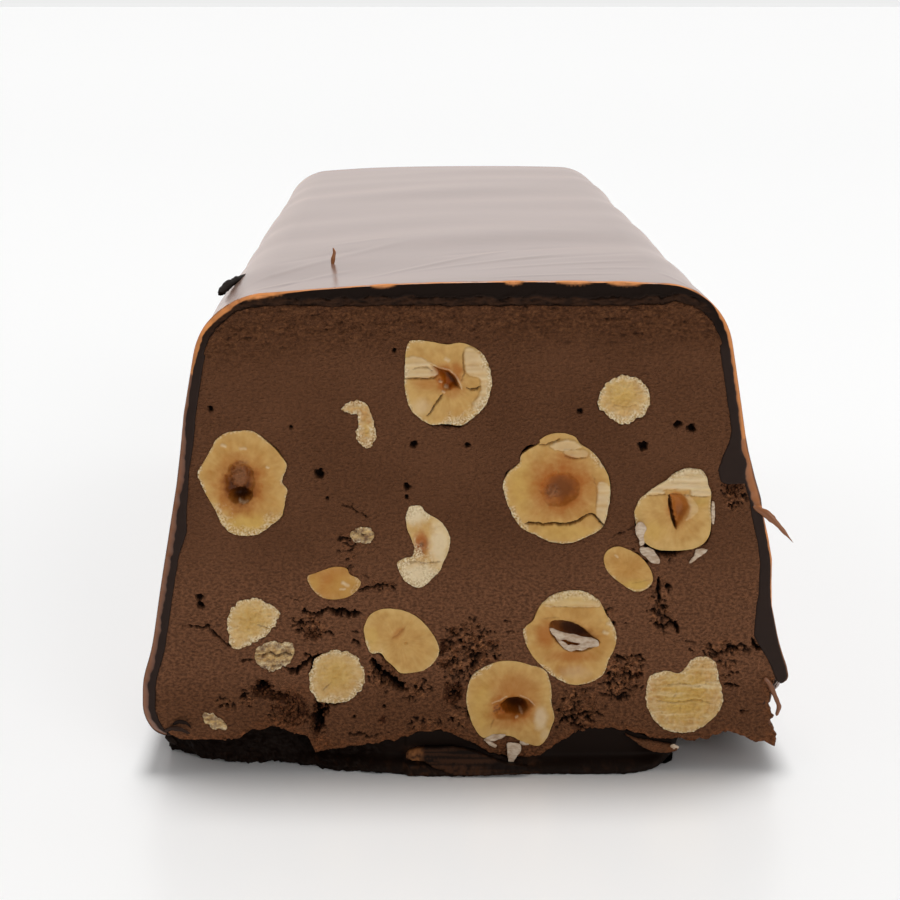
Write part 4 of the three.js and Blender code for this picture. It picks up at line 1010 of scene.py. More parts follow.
nougat = {
    "pits": [(-18.1, 39.4, 0.62), (-17.9, 39.9, 0.3), (-7.2, 37.7, 0.5), (-7.3, 36.4, 0.31),
             (-6.4, 43.1, 0.5), (0.2, 43.0, 0.37), (22.0, 42.8, 0.62), (26.2, 45.5, 0.5),
             (27.9, 45.0, 0.56), (14.1, 47.2, 0.37), (-8.7, 54.9, 0.31), (-21.5, 45.4, 0.25),
             (-31.3, 47.7, 0.37), (-33.4, 23.5, 0.5), (-33.3, 22.5, 0.5), (-20.2, 15.8, 0.25),
             (-17.2, 36.3, 0.25), (25.6, 24.6, 0.44), (-10.3, 8.8, 0.25), (-14.2, 7.4, 0.25),
             (35.5, 7.8, 0.25)],
    # cracks: points, width, depth
    "cracks": [
        ([(-35.9, 19.7), (-34.9, 19.8), (-33.9, 19.6), (-33.3, 19.4), (-32.5, 19.8), (-31.8, 18.8),
          (-31.0, 18.1), (-30.0, 17.2), (-29.4, 16.9)], 0.18, 0.8),
        ([(-28.4, 14.9), (-27.8, 15.1), (-26.9, 15.1)], 0.16, 0.7),
        ([(-22.7, 14.2), (-22.2, 13.6), (-21.5, 13.5), (-20.7, 14.3), (-19.7, 15.1), (-18.6, 15.6),
          (-18.1, 15.7)], 0.42, 1.6),
        ([(-20.4, 22.0), (-19.8, 21.3), (-18.8, 21.1), (-18.0, 21.5), (-17.3, 22.0)], 0.26, 1.2),
        ([(-17.3, 22.0), (-16.4, 21.4), (-15.1, 21.4), (-14.3, 21.2), (-13.3, 21.4)], 0.5, 1.9),
        ([(-22.0, 19.5), (-21.2, 19.8), (-20.6, 20.4), (-20.3, 19.6)], 0.2, 0.9),
        ([(-18.1, 18.8), (-17.1, 18.8), (-16.4, 18.3)], 0.18, 0.8),
        ([(-14.3, 18.8), (-13.4, 18.8)], 0.2, 0.8),
        ([(-14.3, 17.5), (-13.8, 17.6), (-13.3, 17.0)], 0.22, 0.9),
        ([(-22.8, 23.6), (-20.9, 22.9)], 0.1, 0.5),
        ([(-13.6, 24.2), (-12.5, 24.5), (-11.0, 24.8), (-10.2, 25.0), (-9.2, 24.7), (-8.6, 24.3)], 0.24,
         1.1),
        ([(-12.9, 26.3), (-12.0, 25.9)], 0.14, 0.6),
        ([(-15.6, 35.4), (-14.3, 35.1), (-13.8, 35.8)], 0.13, 0.6),
        ([(-14.3, 35.0), (-13.4, 34.5), (-12.6, 34.2), (-12.1, 33.7)], 0.15, 0.7),
        ([(-15.0, 5.0), (-14.1, 4.9), (-13.2, 5.2), (-12.4, 4.6), (-11.5, 4.8), (-10.6, 5.2)], 0.16, 0.8),
        ([(-8.3, 9.8), (-6.8, 9.9)], 0.15, 0.7), ([(4.8, 20.1), (5.9, 20.0)], 0.13, 0.6),
        ([(5.3, 18.7), (6.3, 18.7)], 0.13, 0.6),
        ([(24.3, 25.7), (24.5, 24.9), (24.2, 24.1), (24.6, 23.1), (24.4, 22.4)], 0.26, 1.1),
        ([(24.0, 21.2), (25.0, 20.7), (26.2, 20.1)], 0.22, 1.0),
        ([(23.7, 19.6), (24.4, 19.5), (25.1, 19.1), (25.7, 19.7), (26.7, 19.6), (27.1, 18.5)], 0.32, 1.3),
        ([(27.9, 17.2), (29.5, 17.1)], 0.12, 0.6), ([(28.2, 16.4), (29.2, 15.8)], 0.12, 0.6),
        ([(30.4, 16.4), (31.4, 16.1), (32.1, 15.6), (32.7, 15.8), (33.3, 15.8), (33.7, 16.5), (34.7, 16.1),
          (35.2, 16.2)], 0.26, 1.1),
        ([(20.7, 15.2), (22.2, 15.4), (22.9, 14.8)], 0.18, 0.8), ([(32.7, 13.8), (33.8, 13.4)], 0.14, 0.6),
        ([(33.5, 13.0), (34.4, 13.0)], 0.14, 0.6),
        ([(33.1, 11.5), (35.1, 11.1)], 0.22, 0.9), ([(35.5, 7.8), (36.3, 7.8)], 0.12, 0.5),
        ([(19.9, 19.6), (20.5, 19.9)], 0.12, 0.6),
        ([(18.4, 31.1), (21.3, 32.6)], 0.1, 0.4),
        ([(12.2, 6.5), (13.5, 7.2), (14.7, 7.4), (15.4, 7.8), (16.3, 7.6), (16.9, 7.8), (17.7, 7.3)], 0.24,
         1.0),
        ([(19.9, 6.4), (20.7, 6.2)], 0.13, 0.6), ([(19.8, 10.9), (21.3, 10.8)], 0.22, 0.9),
        ([(17.2, 10.3), (20.1, 9.6)], 0.16, 0.7),
        ([(-22.0, 10.0), (-23.6, 10.5), (-25.1, 10.8)], 0.3, 1.4),
        ([(36.4, 17.7), (37.1, 16.3), (38.5, 15.8)], 0.3, 1.3),
        ([(-11.9, 15.0), (-10.8, 13.4), (-9.3, 12.3), (-8.0, 11.2), (-7.3, 11.0)], 0.8, 2.6),
    ],
    # hollows torn out: x, z, half width, half height, turn, depth
    "hollows": [(-25.8, 11.2, 1.3, 1.2, 30, 3.0), (-24.0, 10.2, 1.9, 0.7, -16, 2.2),
                (-22.0, 8.6, 2.5, 1.9, -30, 1.3), (-18.7, 7.3, 1.1, 2.5, -4, 3.0),
                (-1.4, 10.5, 1.3, 1.5, 8, 1.7), (33.3, 37.4, 1.0, 1.2, 0, 1.3),
                (-19.4, 18.4, 1.2, 0.7, 0, 1.4), (-1.7, 18.8, 0.5, 0.5, 0, 1.2),
                (-2.7, 16.8, 0.45, 0.8, 0, 1.2), (-2.4, 14.2, 0.8, 0.5, 0, 1.2),
                (3.2, 17.1, 0.6, 0.4, 0, 0.8), (20.3, 13.6, 0.35, 0.25, 0, 0.9),
                (21.9, 12.7, 0.3, 0.55, 0, 1.0), (-10.6, 7.0, 0.5, 0.4, 0, 0.4)],
    # crumbly places: x, z, half width, half height, strength
    "crumbly": [(0.6, 15.5, 4.4, 5.0, 1.0), (-6.0, 11.1, 2.0, 1.7, 0.8), (-0.6, 7.2, 1.8, 2.0, 0.7),
                (14.4, 8.2, 3.4, 3.9, 0.9), (20.1, 12.8, 3.4, 3.8, 1.0), (-19.6, 19.6, 2.4, 2.2, 0.9),
                (-27.7, 9.9, 1.3, 1.3, 0.9), (-22.6, 8.0, 2.6, 2.0, 1.0), (24.6, 22.1, 1.7, 4.4, 0.8),
                (33.0, 16.0, 3.2, 1.7, 0.7), (-14.5, 30.2, 1.6, 2.6, 0.6), (-10.5, 13.3, 2.8, 2.8, 0.8),
                (-3.5, 6.2, 5.0, 1.3, 0.6), (33.4, 13.2, 2.0, 2.2, 0.5), (18.2, 20.3, 1.6, 1.6, 0.6),
                (-19.0, 14.6, 2.4, 1.6, 0.6), (33.4, 36.3, 1.7, 2.4, 1.0), (-30.6, 9.2, 1.5, 1.0, 0.7),
                (24.0, 29.2, 3.0, 1.6, 0.6), (-11.0, 24.8, 3.0, 0.9, 0.5)],
    # orange-brown patches: x, z, half width, half height, strength; the one at the bare right side is a
    # painted glow of light shining through
    "toast": [(-23.5, 6.6, 3.2, 1.2, 0.9), (-18.6, 3.8, 1.6, 1.4, 1.0), (39.6, 9.0, 1.1, 3.4, 0.9),
              (-9.8, 13.5, 1.8, 1.4, 0.5), (5.8, 2.9, 4.2, 1.4, 0.35), (-16.0, 3.6, 6.0, 0.6, 0.5),
              (-21.5, 10.6, 2.2, 1.6, 0.4)],
    # how much further in the bare side reaches on the right, by height
    "rightNibbles": [(3.0, 0.1), (3.8, -0.2), (5.2, 0.2), (6.3, 0.7), (7.1, 0.1), (8.6, 0.8), (10.7, 0.6),
                     (12.0, 0.3), (13.0, 0.0)],
    "bottomSteps": 230, "smearFrom": 52.5,
    "spacings": (0.42, 0.24, 0.17, 0.13),  # between points, finest where the face is torn
    "grain": 0.4, "clod": 0.9, "waves": 0.045, "broadWaves": 0.05,
    "smearDepth": (10.5, 4.5),  # below the upper edge, where the knife's drag marks end and are strongest
    "lowerBelow": (34, 22), "pocketRoom": 0.6,
}


def crackDistance(p, crack):
    path, width = crack[:2]
    low, high = np.min(path, axis=0) - width - 1, np.max(path, axis=0) + width + 1
    near = np.all((p > low) & (p < high), axis=1)
    away = np.full(len(p), 9.0)
    if near.any():
        q = p[near]
        place = onFace(q)
        distance, along, run = pathDistance(shiver(q, place, 0.55, 71, 0.16), path)
        taper = np.clip(np.minimum(along, run - along) / (2.5 * width) + 0.35, 0, 1)
        wobble = 0.55 + 0.75 * np.abs(noiseAt(place, 0.8, 73)) * 1.4
        away[near] = distance - width * taper * wobble
    return away


def crumbliness(p):
    spread = np.zeros(len(p))
    for x, z, halfX, halfZ, strength in nougat["crumbly"]:
        share = ovalShare(p, (x, z), (halfX, halfZ))
        spread = np.maximum(spread, strength * (1 - smoothStep(share, 0.45, 1.15)))
    return spread


def tornShare(p, hollow):
    return ovalShare(p, hollow[:2], hollow[2:4], hollow[4]) + 0.42 * fractal(onFace(p), 1.2, 79, 4, 0.7)


def nougatSpacing(p):
    coarse, middling, fine, finest = nougat["spacings"]
    spacing = np.full(len(p), coarse)
    spacing[p[:, 1] > nougat["smearFrom"]] = middling
    spacing[crumbliness(p) > 0.1] = fine
    for x, z, halfX, halfZ, turn, _ in nougat["hollows"]:
        spacing[ovalShare(p, (x, z), (halfX + 0.5, halfZ + 0.5), turn) < 1.1] = fine
    for x, z, radius in nougat["pits"]:
        spacing[np.hypot(p[:, 0] - x, p[:, 1] - z) < radius + 0.35] = finest
    for crack in nougat["cracks"]:
        spacing[crackDistance(p, crack) < 0.3] = finest
    spacing[(p[:, 1] < 7.5) & (spacing > 0.2)] = middling
    return spacing


def nougatRelief(p):
    # depth behind the cut and colour masks
    place = onFace(p)
    depth = nougat["waves"] * fractal(place, (1.5, 1, 1.0), 11, 4, 0.65)
    depth += nougat["broadWaves"] * fractal(place, 9, 12, 2)
    dimple = noiseAt(place, (0.8, 1, 0.55), 13) + 0.5 * noiseAt(place, (3.4, 1, 2.2), 14)
    depth += 0.22 * np.clip(dimple - 0.6, 0, 1)
    below = topHeight(p[:, 0]) - p[:, 1]  # the drag marks follow the upper edge
    smear = smoothStep(-below, *(-reach for reach in nougat["smearDepth"]))
    dragPlace = np.column_stack([p[:, 0], 0 * below, below])
    drag = fractal(dragPlace, (2.8, 1, 0.6), 15, 4, 0.58)
    wrinkle = bump(drag, 0.1)
    ridge = bump(drag - 0.24, 0.1)
    depth += smear * (0.12 * drag - 0.06 * wrinkle + 0.13 * ridge + 0.5 * np.clip(drag - 0.6, 0, 0.5))
    # the drag marks' dark troughs are painted shade and their raised wrinkles get a painted highlight
    cavity = smear * np.maximum(0.3 * bump(drag - 0.26, 0.08), 0.7 * smoothStep(drag, 0.7, 0.95))
    crestHighlight = 0.22 * smear * wrinkle
    torn = crumbliness(p)
    stirred = shiver(p, place, 0.6, 21, 0.14)
    near, _, number, middle = grainCells(stirred, nougat["grain"], 23)
    grain = p + 0.75 * (middle - p)  # what breaks away leaves in whole grains
    jagged = p + 0.4 * (middle - p)
    missing = fractal(onFace(grain), (1.7, 1, 0.95), 24, 4, 0.66)
    crevice = smoothStep(missing, 0.86 - 0.5 * torn, 0.96 - 0.5 * torn) * (torn > 0.02)
    bent = shiver(stirred, place, 1.3, 33, 0.45)
    bigNear, bigSecond, bigNumber, _ = grainCells(bent, nougat["clod"], 31)
    opened = smoothStep(fractal(place, 1.5, 32, 3, 0.6), 0.55 - 0.6 * torn,
                        0.7 - 0.6 * torn) * (torn > 0.02)
    split = opened * smoothStep(bigNear - bigSecond + 0.08 * noiseAt(place, 0.5, 35), -0.2, -0.07)
    depth += torn * (0.16 * near - 0.3 * (bigNumber - 0.5)) + 0.45 * split + crevice * (0.35 + 0.6 * torn)
    # crevices, splits, pits, cracks and deep hollows are painted dark as shade
    cavity = np.maximum(cavity, np.maximum(0.92 * crevice, 0.85 * split))
    for x, z, radius in nougat["pits"]:
        away = np.hypot(p[:, 0] - x, p[:, 1] - z) - radius * (1 + 0.45 * noiseAt(place, 0.45, 25))
        hole = np.clip(-away / 0.14, 0, 1)
        depth = np.maximum(depth, hole * min(1.2, 0.5 + radius))
        cavity = np.maximum(cavity, hole)
    for crack in nougat["cracks"]:
        hole = np.clip(-crackDistance(jagged, crack) / 0.12, 0, 1)
        depth = np.maximum(depth, hole * crack[2])
        cavity = np.maximum(cavity, hole)
    brown = np.zeros(len(p))
    for hollow in nougat["hollows"]:
        share = tornShare(p + 0.8 * (grain - p), hollow)
        hole = np.sqrt(np.clip(1 - share, 0, 1))
        rough = 0.85 + 0.4 * fractal(place, 0.9, 26, 4, 0.7) + 0.5 * (number - 0.5)
        deep = hole * hollow[5] * rough
        depth = np.maximum(depth, deep)
        brown = np.maximum(brown, smoothStep(hole, 0.05, 0.3))
        cavity = np.maximum(cavity * (1 - 0.6 * smoothStep(hole, 0.1, 0.4)), smoothStep(deep, 0.7, 1.7))
    toast = np.zeros(len(p))
    for x, z, halfX, halfZ, strength in nougat["toast"]:
        patch = 1 - smoothStep(ovalShare(p, (x, z), (halfX, halfZ)) + 0.25 * noiseAt(place, 0.8, 27), 0.5,
                               1.1)
        toast = np.maximum(toast, strength * patch)
    depth += 0.3 * toast * np.abs(fractal(place, 0.7, 28, 3, 0.6))
    # loose grains are painted lighter, partly their own colour and partly a painted highlight on their tops
    loose = 0.35 * smoothStep(number, 0.4, 0.9) + 0.45 * smoothStep(bigNumber, 0.4, 0.9)
    crumbs = torn * (1 - cavity) * loose
    above = p[:, 1] - nougatUnder(p[:, 0], cutY)
    bareSide = bump(halfWidth(p[:, 1]) - shell["wall"] - p[:, 0], 1.0) * (p[:, 1] < 12.5)
    # the lower edge and the bare right side get a painted warm glow of light shining through the thin nougat
    fringe = np.maximum(0.75 * bump(np.maximum(above, 0), 0.55), 0.9 * bareSide)
    toast = np.maximum(toast, fringe) * np.clip(0.55 + 0.6 * fractal(place, 0.9, 29, 3, 0.6), 0, 1)
    lower = smoothStep(-p[:, 1], *(-height for height in nougat["lowerBelow"]))
    # how strongly the grain's painted shade and highlight show, strongest in torn and edge places
    grainy = np.maximum(0.24 + 0.28 * lower + 0.1 * noiseAt(place, 9, 38), 0.34 * smear)
    grainy = np.maximum(grainy, np.maximum(0.85 * torn, 0.8 * toast))
    # grain edges in the torn places get a painted highlight
    crestHighlight = np.maximum(crestHighlight, 0.45 * torn * (1 - cavity) * smoothStep(number, 0.6, 0.9))
    return depth, {"cavity": cavity, "toast": np.clip(toast, 0, 1), "smear": 0.6 * smear, "crestHighlight": crestHighlight,
                   "crumbs": crumbs, "torn": brown * (0.55 + 0.45 * number), "grainy": grainy,
                   "lower": 0.6 * lower * smoothStep(p[:, 1], 9, 14)}


def innerTear(curve, y):
    # how the knife tore the face between coating and nougat, near the cut only
    points = onFace(curve)
    top = smoothStep(curve[:, 1], 52, 59)
    ragged = top * 0.2 * fractal(points, 3.0, 35, 4, 0.6) + 0.05 * fractal(points, 1.5, 36, 3)
    return ragged * bump(y - cutY, 2.5)


def nougatRing(y):
    curve = sectionCurve(*(float(nougatUnder(np.array([x]), y)[0]) for x in (-38.5, 40.0)))
    nearCut = bump(y - cutY, 14)
    bare = (curve[:, 0] > 0) & (curve[:, 1] < 12.5)
    nibble = np.interp(curve[:, 1], *zip(*nougat["rightNibbles"])) * bare * nearCut
    crumbled = 0.35 * fractal(onFace(curve) + np.array([0, y, 0]), 1.6, 41, 4, 0.65)
    footCorner = (curve[:, 0] < 0) & (curve[:, 1] < 5.5)
    nibble += (np.maximum(crumbled, -0.1) + 0.05) * (bare | footCorner) * nearCut
    ring = sectionAt(curve, y, 1, 0.04, insideRound, insideEnd, innerTear(curve, y) + nibble)
    right, left = ring[-1], ring[0]
    x = np.linspace(right[0], left[0], nougat["bottomSteps"] + 2)[1:-1]
    lean = shell["endDraft"] * smoothStep(y, shell["endDraftFrom"], insideEnd)
    z = nougatUnder(x, np.full(len(x), y))
    return np.concatenate([ring, np.column_stack([x, y - lean * z, z])])


def makeNougat():
    ys = np.concatenate([np.arange(cutY, cutY + 6, 0.5), np.arange(cutY + 6, cutY + 17, 1.0),
                         [-72, -56, -20, 30, 72],
                         insideEnd - insideRound * innerEndRows])
    rings = [nougatRing(y) for y in ys]
    outer = rings[0][:, [0, 2]]
    holes = [nutHole(nut, nutLoops[name]) for name, nut in hazelnuts.items()]
    inner = facePoints([outer, *holes], nougat["spacings"], nougatSpacing, 101)
    flat, faces = triangulate([outer, *holes], inner)
    depth, masks = nougatRelief(flat)
    shape = newShape(onCut(flat, depth), faces, masks)
    triangles = shape["triangles"]
    start = len(outer)
    last = np.arange(start)
    for ring, y in zip(rings[1:], ys[1:]):
        ring = ring.copy()
        ring[:, 1] += depth[:start] * bump(y - cutY, 1.5)
        here = addRow(shape, ring, toast=0.35 * bump(y - cutY, 6), cavity=0.1, grainy=0.7)
        triangles.append(bridge(last, here))
        last = here
    triangles.append(fan(last, addRow(shape, rings[-1].mean(0)[None])[0]))
    for nut, loop in zip(hazelnuts.values(), holes):
        # a pocket round each nut, its walls painted dark as shade
        last = np.arange(start, start + len(loop))
        centre, bottom = nutCore(nut), nut["depth"] + nougat["pocketRoom"]
        for share, width in ((0.45, 1.0), (0.85, 0.8)):
            here = addRow(shape, onCut(centre + (loop - centre) * width, bottom * share), cavity=0.9)
            triangles.append(bridge(last, here))
            last = here
        triangles.append(fan(last, addRow(shape, onCut(centre[None], bottom), cavity=1)[0]))
        start += len(loop)
    hand(finished(shape, "nougatBody", nougatMaterial), "nougat", "nougat")
    return flat, faces, depth, masks


nougatFace = makeNougat()


coating = {
    "rightBreak": [(-2, 12.1), (1.2, 11.2), (3, 10.8), (5.5, 8.6), (8, 8.1), (10.5, 5.2), (13, 4.1),
                   (15.5, 0.9), (17, 0.5)],
    "leftBreak": [(-2, 5.0), (2.2, 4.5), (4.5, 4.6), (7, 3.3), (9.5, 2.8), (12, 0.9), (13, 0.5)],
    # chips along the upper edge: from x, to x, height, depth
    "chips": [(-33, -21.5, 0.75, 0.8), (-11.6, -8.4, 0.4, 0.5), (4.6, 7.0, 0.5, 0.6),
              (10.9, 15.5, 0.45, 0.5), (17.0, 21.6, 0.5, 0.6)],
    "topBevel": 0.14, "tipRadius": 1.1,
    # width of the bevelled outer edge by height: the left wall, then the right
    "leftBevels": [(0, 1.0), (13, 1.0), (17, 0.7), (30, 0.85), (40, 0.85), (47, 0.45), (52, 0.34),
                   (56, 0.62), (60.5, 0.66), (61.6, 0.4), (62.4, 0.14)],
    "rightBevels": [(0, 0.3), (12, 0.2), (22, 0.12), (23, 0.2), (30, 0.28), (34.8, 0.15), (35.2, 1.0),
                    (39.5, 1.0), (43, 0.7), (46, 0.52), (52, 0.5), (57, 0.6), (59, 0.45), (60.5, 0.12),
                    (62, 0.14)],
    # long slanting folds on the top: x and distance behind the cut of both ends, width, height
    "folds": [(-29, 9, -5, 45, 1.3, 0.06), (-15, 4.6, 11, 35.7, 0.9, 0.08), (-9, 10.2, 16, 27.5, 0.8, 0.07),
              (-0.5, 10.1, 26, 22, 0.8, 0.08), (12, 11, 25, 14.6, 0.7, 0.07),
              (24.3, 10.8, 29, -2.7, 0.6, 0.09), (-27.5, 2.6, -13, 17, 0.9, 0.07),
              (-3.4, 49.5, 24, 52, 1.8, 0.05), (-19, 40, -8, 47, 1.5, 0.05), (-24, 2, -19, 13, 0.8, -0.05),
              (2, 3, 22, 8, 0.8, 0.05), (-6, 24, 20, 38, 1.4, -0.05), (4, 18, 27, 30, 1.1, -0.05),
              (-26, 24, -12, 36, 1.4, -0.04)],
}


def breakHeight(side, y):
    line = coating["rightBreak" if side > 0 else "leftBreak"]
    back = y - cutY
    height = float(np.interp(back, *zip(*line)))
    if height > shell["rim"] + 0.05:
        height += 0.3 * float(fractal(np.array([[side * 40.0, y, 0.0]]), 1.3, 91, 3, 0.6)[0])
    return max(height, shell["rim"])


def chipShare(x, z):
    # depth share of the shell-like chips at the upper edge of the cut
    below = topHeight(x) - z
    share = np.zeros(len(x))
    depth = np.zeros(len(x))
    for first, last, height, deep in coating["chips"]:
        middle, half = (first + last) / 2, (last - first) / 2
        across = np.clip(1 - ((x - middle) / half) ** 2, 0, 1)
        reach = height * np.sqrt(across)
        inside = np.clip((reach - below) / 0.22, 0, 1) * (across > 0)
        share = np.maximum(share, inside)
        depth = np.maximum(depth, deep * across * np.clip(1 - below / np.maximum(reach, 0.05), 0, 1) ** 0.8)
    return share, depth


def folds(x, y):
    # shallow slanting folds on the top
    p = np.column_stack([x, y - cutY])
    rise = 0.03 * noiseAt(np.column_stack([p, 0 * x]), (22, 9, 1), 96)
    for x1, back1, x2, back2, width, height in coating["folds"]:
        away, along, run = pathDistance(p, [(x1, back1), (x2, back2)])
        fade = smoothStep(np.minimum(along, run - along), -0.4, 0.3 * run)
        rise += height * bump(away, width * (0.6 + 0.4 * along / run)) * fade
    return rise


def coatCurve(y):
    return sectionCurve(breakHeight(-1, y), breakHeight(1, y))


def tipRound(curve):
    # how far the broken ends of the walls are rounded off
    z = curve[:, 1]
    foot = np.where(curve[:, 0] > 0, z[-1], z[0])
    share = np.clip(1 - (z - foot) / coating["tipRadius"], 0, 1)
    return coating["tipRadius"] * 0.8 * (1 - np.sqrt(1 - 0.98 * share ** 2))


def coatOuter(y, frontDepth, bevel=0.0):
    curve = coatCurve(y)
    nearCut = bump(y - cutY, 1.0)
    flat = smoothStep(curve[:, 6], 0.5, 0.95)
    ends = 1 - smoothStep(y, 60, 84)
    rise = flat * ends * folds(curve[:, 0], np.full(len(curve), y))
    extra = bevel - rise + tipRound(curve) * bump(y - cutY, 9)
    row = sectionAt(curve, y, 0, 0, shell["endRound"], endY, extra)
    row[:, 1] += frontDepth * nearCut
    return row


def coatInner(curve, y):
    extra = innerTear(curve, y) - 0.7 * tipRound(curve) * bump(y - cutY, 9)
    return sectionAt(curve, y, 1, 0, insideRound, insideEnd, extra)


def makeCoating():
    curve = coatCurve(cutY)
    x, z = curve[:, 0], curve[:, 1]
    arc = onFace(curve)
    onLeft = x < -20
    leftBevel, rightBevel = (np.interp(z, *zip(*coating[side])) for side in ("leftBevels", "rightBevels"))
    bevel = np.where(onLeft, leftBevel, rightBevel)
    bevel = np.where(np.abs(x) < 20, coating["topBevel"], bevel)
    bevel = np.maximum(bevel * (1 + 0.35 * noiseAt(arc, 2.2, 88) + 0.2 * noiseAt(arc, 0.7, 89)), 0.05)
    jog = (x > 20) & (z > 35) & (z < 43.5)
    upperRight = (x > 29) & (z >= 43.5)
    brown = (onLeft & (z < 52)) * 0.95 + jog * 0.9 + upperRight * 0.25
    outerFront = sectionAt(curve, cutY, 0, 0, shell["endRound"], endY, bevel + tipRound(curve))[:, [0, 2]]
    innerFront = coatInner(curve, cutY)[:, [0, 2]]
    loop = np.concatenate([outerFront, innerFront[::-1]])

    def spacing(p):
        band = (topHeight(p[:, 0]) - p[:, 1] > 1.0) & (p[:, 1] > 55)
        return np.where((chipShare(*p.T)[0] > 0) | band, 0.14, 0.26)

    inner = facePoints([loop], (0.26, 0.14), spacing, 103, 0.5)
    flat, faces = triangulate([loop], inner)
    place = onFace(flat)
    chip, chipDepth = chipShare(flat[:, 0], flat[:, 1])
    top = smoothStep(flat[:, 1], 52, 58)
    edge = nearestDistance(flat, innerFront)
    wander = 0.35 * fractal(place, (2.6, 1, 2.6), 86, 3, 0.6)
    reach = 1.1 + wander + 0.25 * noiseAt(place, (7, 1, 3), 87)
    top = top * smoothStep(-np.abs(flat[:, 0] + 1), -32, -29)
    band = top * smoothStep(reach - edge, 0, 0.3)
    crack = top * bump(edge - reach + 0.12, 0.08) * smoothStep(noiseAt(place, (2.2, 1, 9), 90), -0.2, 0.2)
    broken = smoothStep(noiseAt(place, (3, 1, 9), 91), -0.3, 0.1)
    crack = np.maximum(crack, 0.6 * top * bump(edge - 0.08, 0.07) * broken)
    scrap = fractal(place, (1.3, 1, 0.45), 85, 4, 0.65)
    flake = band * (1 - crack) * np.clip(0.62 + 0.5 * scrap, 0, 1)
    depth = 0.03 * fractal(place, (2.5, 1, 1.5), 81, 3) + chipDepth
    depth += band * (0.12 - 0.16 * scrap) + 0.4 * crack - 0.12 * top * bump(edge - reach - 0.08, 0.1)
    n = len(curve)
    endRows = np.array([1, 0.85, 0.7, 0.56, 0.43, 0.32, 0.22, 0.14, 0.08, 0.03, 0.008, 0])
    ys = np.concatenate([[cutY + 0.16, cutY + 0.4], np.arange(cutY + 0.8, cutY + 8.2, 0.45),
                         np.arange(cutY + 8.7, cutY + 46, 0.9), np.arange(cutY + 46, 72, 2.6),
                         endY - shell["endRound"] * endRows])
    innerYs = np.concatenate([[cutY + 0.5, cutY + 1.2, cutY + 2.5, cutY + 5],
                              np.arange(cutY + 8, cutY + 20, 2),
                              [-66, -56, -40, -10, 20, 50, 72], insideEnd - insideRound * innerEndRows])
    shape = newShape(onCut(flat, depth), faces, {
        # below 54 mm, on the walls, the cut is mixed a little towards the skin colour as a painted sheen
        "cut": 1 - 0.15 * smoothStep(-flat[:, 1], -58, -54), "bevel": np.zeros(len(flat)),
        # chips are painted with an orange glow of light through the thin chocolate
        "fracture": chip * (0.8 + 0.3 * noiseAt(place, 0.8, 83)), "crumb": flake,
    })
    triangles = shape["triangles"]
    frontDepth = depth[:n]
    outerRows = [np.arange(n)]
    # a painted orange highlight line along the cut's outer edge
    glowLine = np.clip(0.8 + 0.5 * noiseAt(arc, 2.5, 84), 0, 1) * (1 - brown)
    glowLine = np.maximum(glowLine * (1 - 0.75 * smoothStep(-z, -22, -20) * (x > 0)), chip[:n])
    for share in (0.8, 0.25):
        ring = coatOuter(cutY, frontDepth, bevel * share)
        ring[:, 1] += (1 - share) * (0.1 + 0.35 * bevel)
        line = 1.0 if share < 0.5 else 0.0
        # the outermost row adds a painted highlight line, strongest at the upper right
        fracture = glowLine + 0.2 * line * brown + 0.25 * jog + 0.9 * line * upperRight
        cut = 1 - np.maximum(glowLine, brown)
        outerRows.append(addRow(shape, ring, fracture=fracture, bevel=brown, cut=cut))
    for k, y in enumerate(ys):
        fresh = bump(y - cutY - 0.16, 0.2)
        ring = coatOuter(y, frontDepth)
        if k == 0:
            ring[:, 1] += 0.35 * bevel
        outerRows.append(addRow(shape, ring, fracture=glowLine * fresh * 0.6, bevel=brown * fresh))
    innerRows = [np.arange(2 * n - 1, n - 1, -1)]
    for y in innerYs:
        ring = coatInner(coatCurve(y), y)
        ring[:, 1] += depth[innerRows[0]] * bump(y - cutY, 1.2)
        innerRows.append(addRow(shape, ring, cut=1))
    # the end walls close towards the middle of their lower edge
    for rowsOf in (outerRows, innerRows):
        ring = np.concatenate(shape["points"])[rowsOf[-1]]
        anchor = (ring[0] + ring[-1]) / 2
        for share in (0.985, 0.95, 0.88, 0.76, 0.6, 0.42, 0.24, 0.08):
            rowsOf.append(addRow(shape, anchor + (ring - anchor) * share, cut=rowsOf is innerRows))
        rowsOf.append(addRow(shape, anchor[None]))
    for rowsOf, flip in ((outerRows, False), (innerRows, True)):
        for a, b in zip(rowsOf[:-2], rowsOf[1:-1]):
            strip = bridge(a, b, closed=False)
            triangles.append(strip[:, ::-1] if flip else strip)
        lid = np.column_stack([rowsOf[-2][:-1], rowsOf[-2][1:], np.full(n - 1, rowsOf[-1][0])])
        triangles.append(lid[:, ::-1] if flip else lid)
    # the rim under both walls
    points = np.concatenate(shape["points"])
    for end in (0, -1):
        outerIds, innerIds = ([int(row[end]) for row in rowsOf] for rowsOf in (outerRows, innerRows))
        triangles.append(zipStrip(points, outerIds, innerIds, flip=end == -1))
    hand(finished(shape, "coatingShell", chocolateMaterial), "dark_chocolate", "coating")


def zipStrip(points, first, second, flip):
    # triangles between two rows of different length, always taking the shorter diagonal
    def gap(a, b):
        return np.linalg.norm(points[a] - points[b])

    out, i, j = [], 0, 0
    while i + 1 < len(first) or j + 1 < len(second):
        both = i + 1 < len(first) and j + 1 < len(second)
        if gap(first[i + 1], second[j]) <= gap(first[i], second[j + 1]) if both else i + 1 < len(first):
            out.append((first[i], second[j], first[i + 1]))
            i += 1
        else:
            out.append((first[i], second[j], second[j + 1]))
            j += 1
    out = np.array(out)
    return out[:, ::-1] if flip else out


makeCoating()


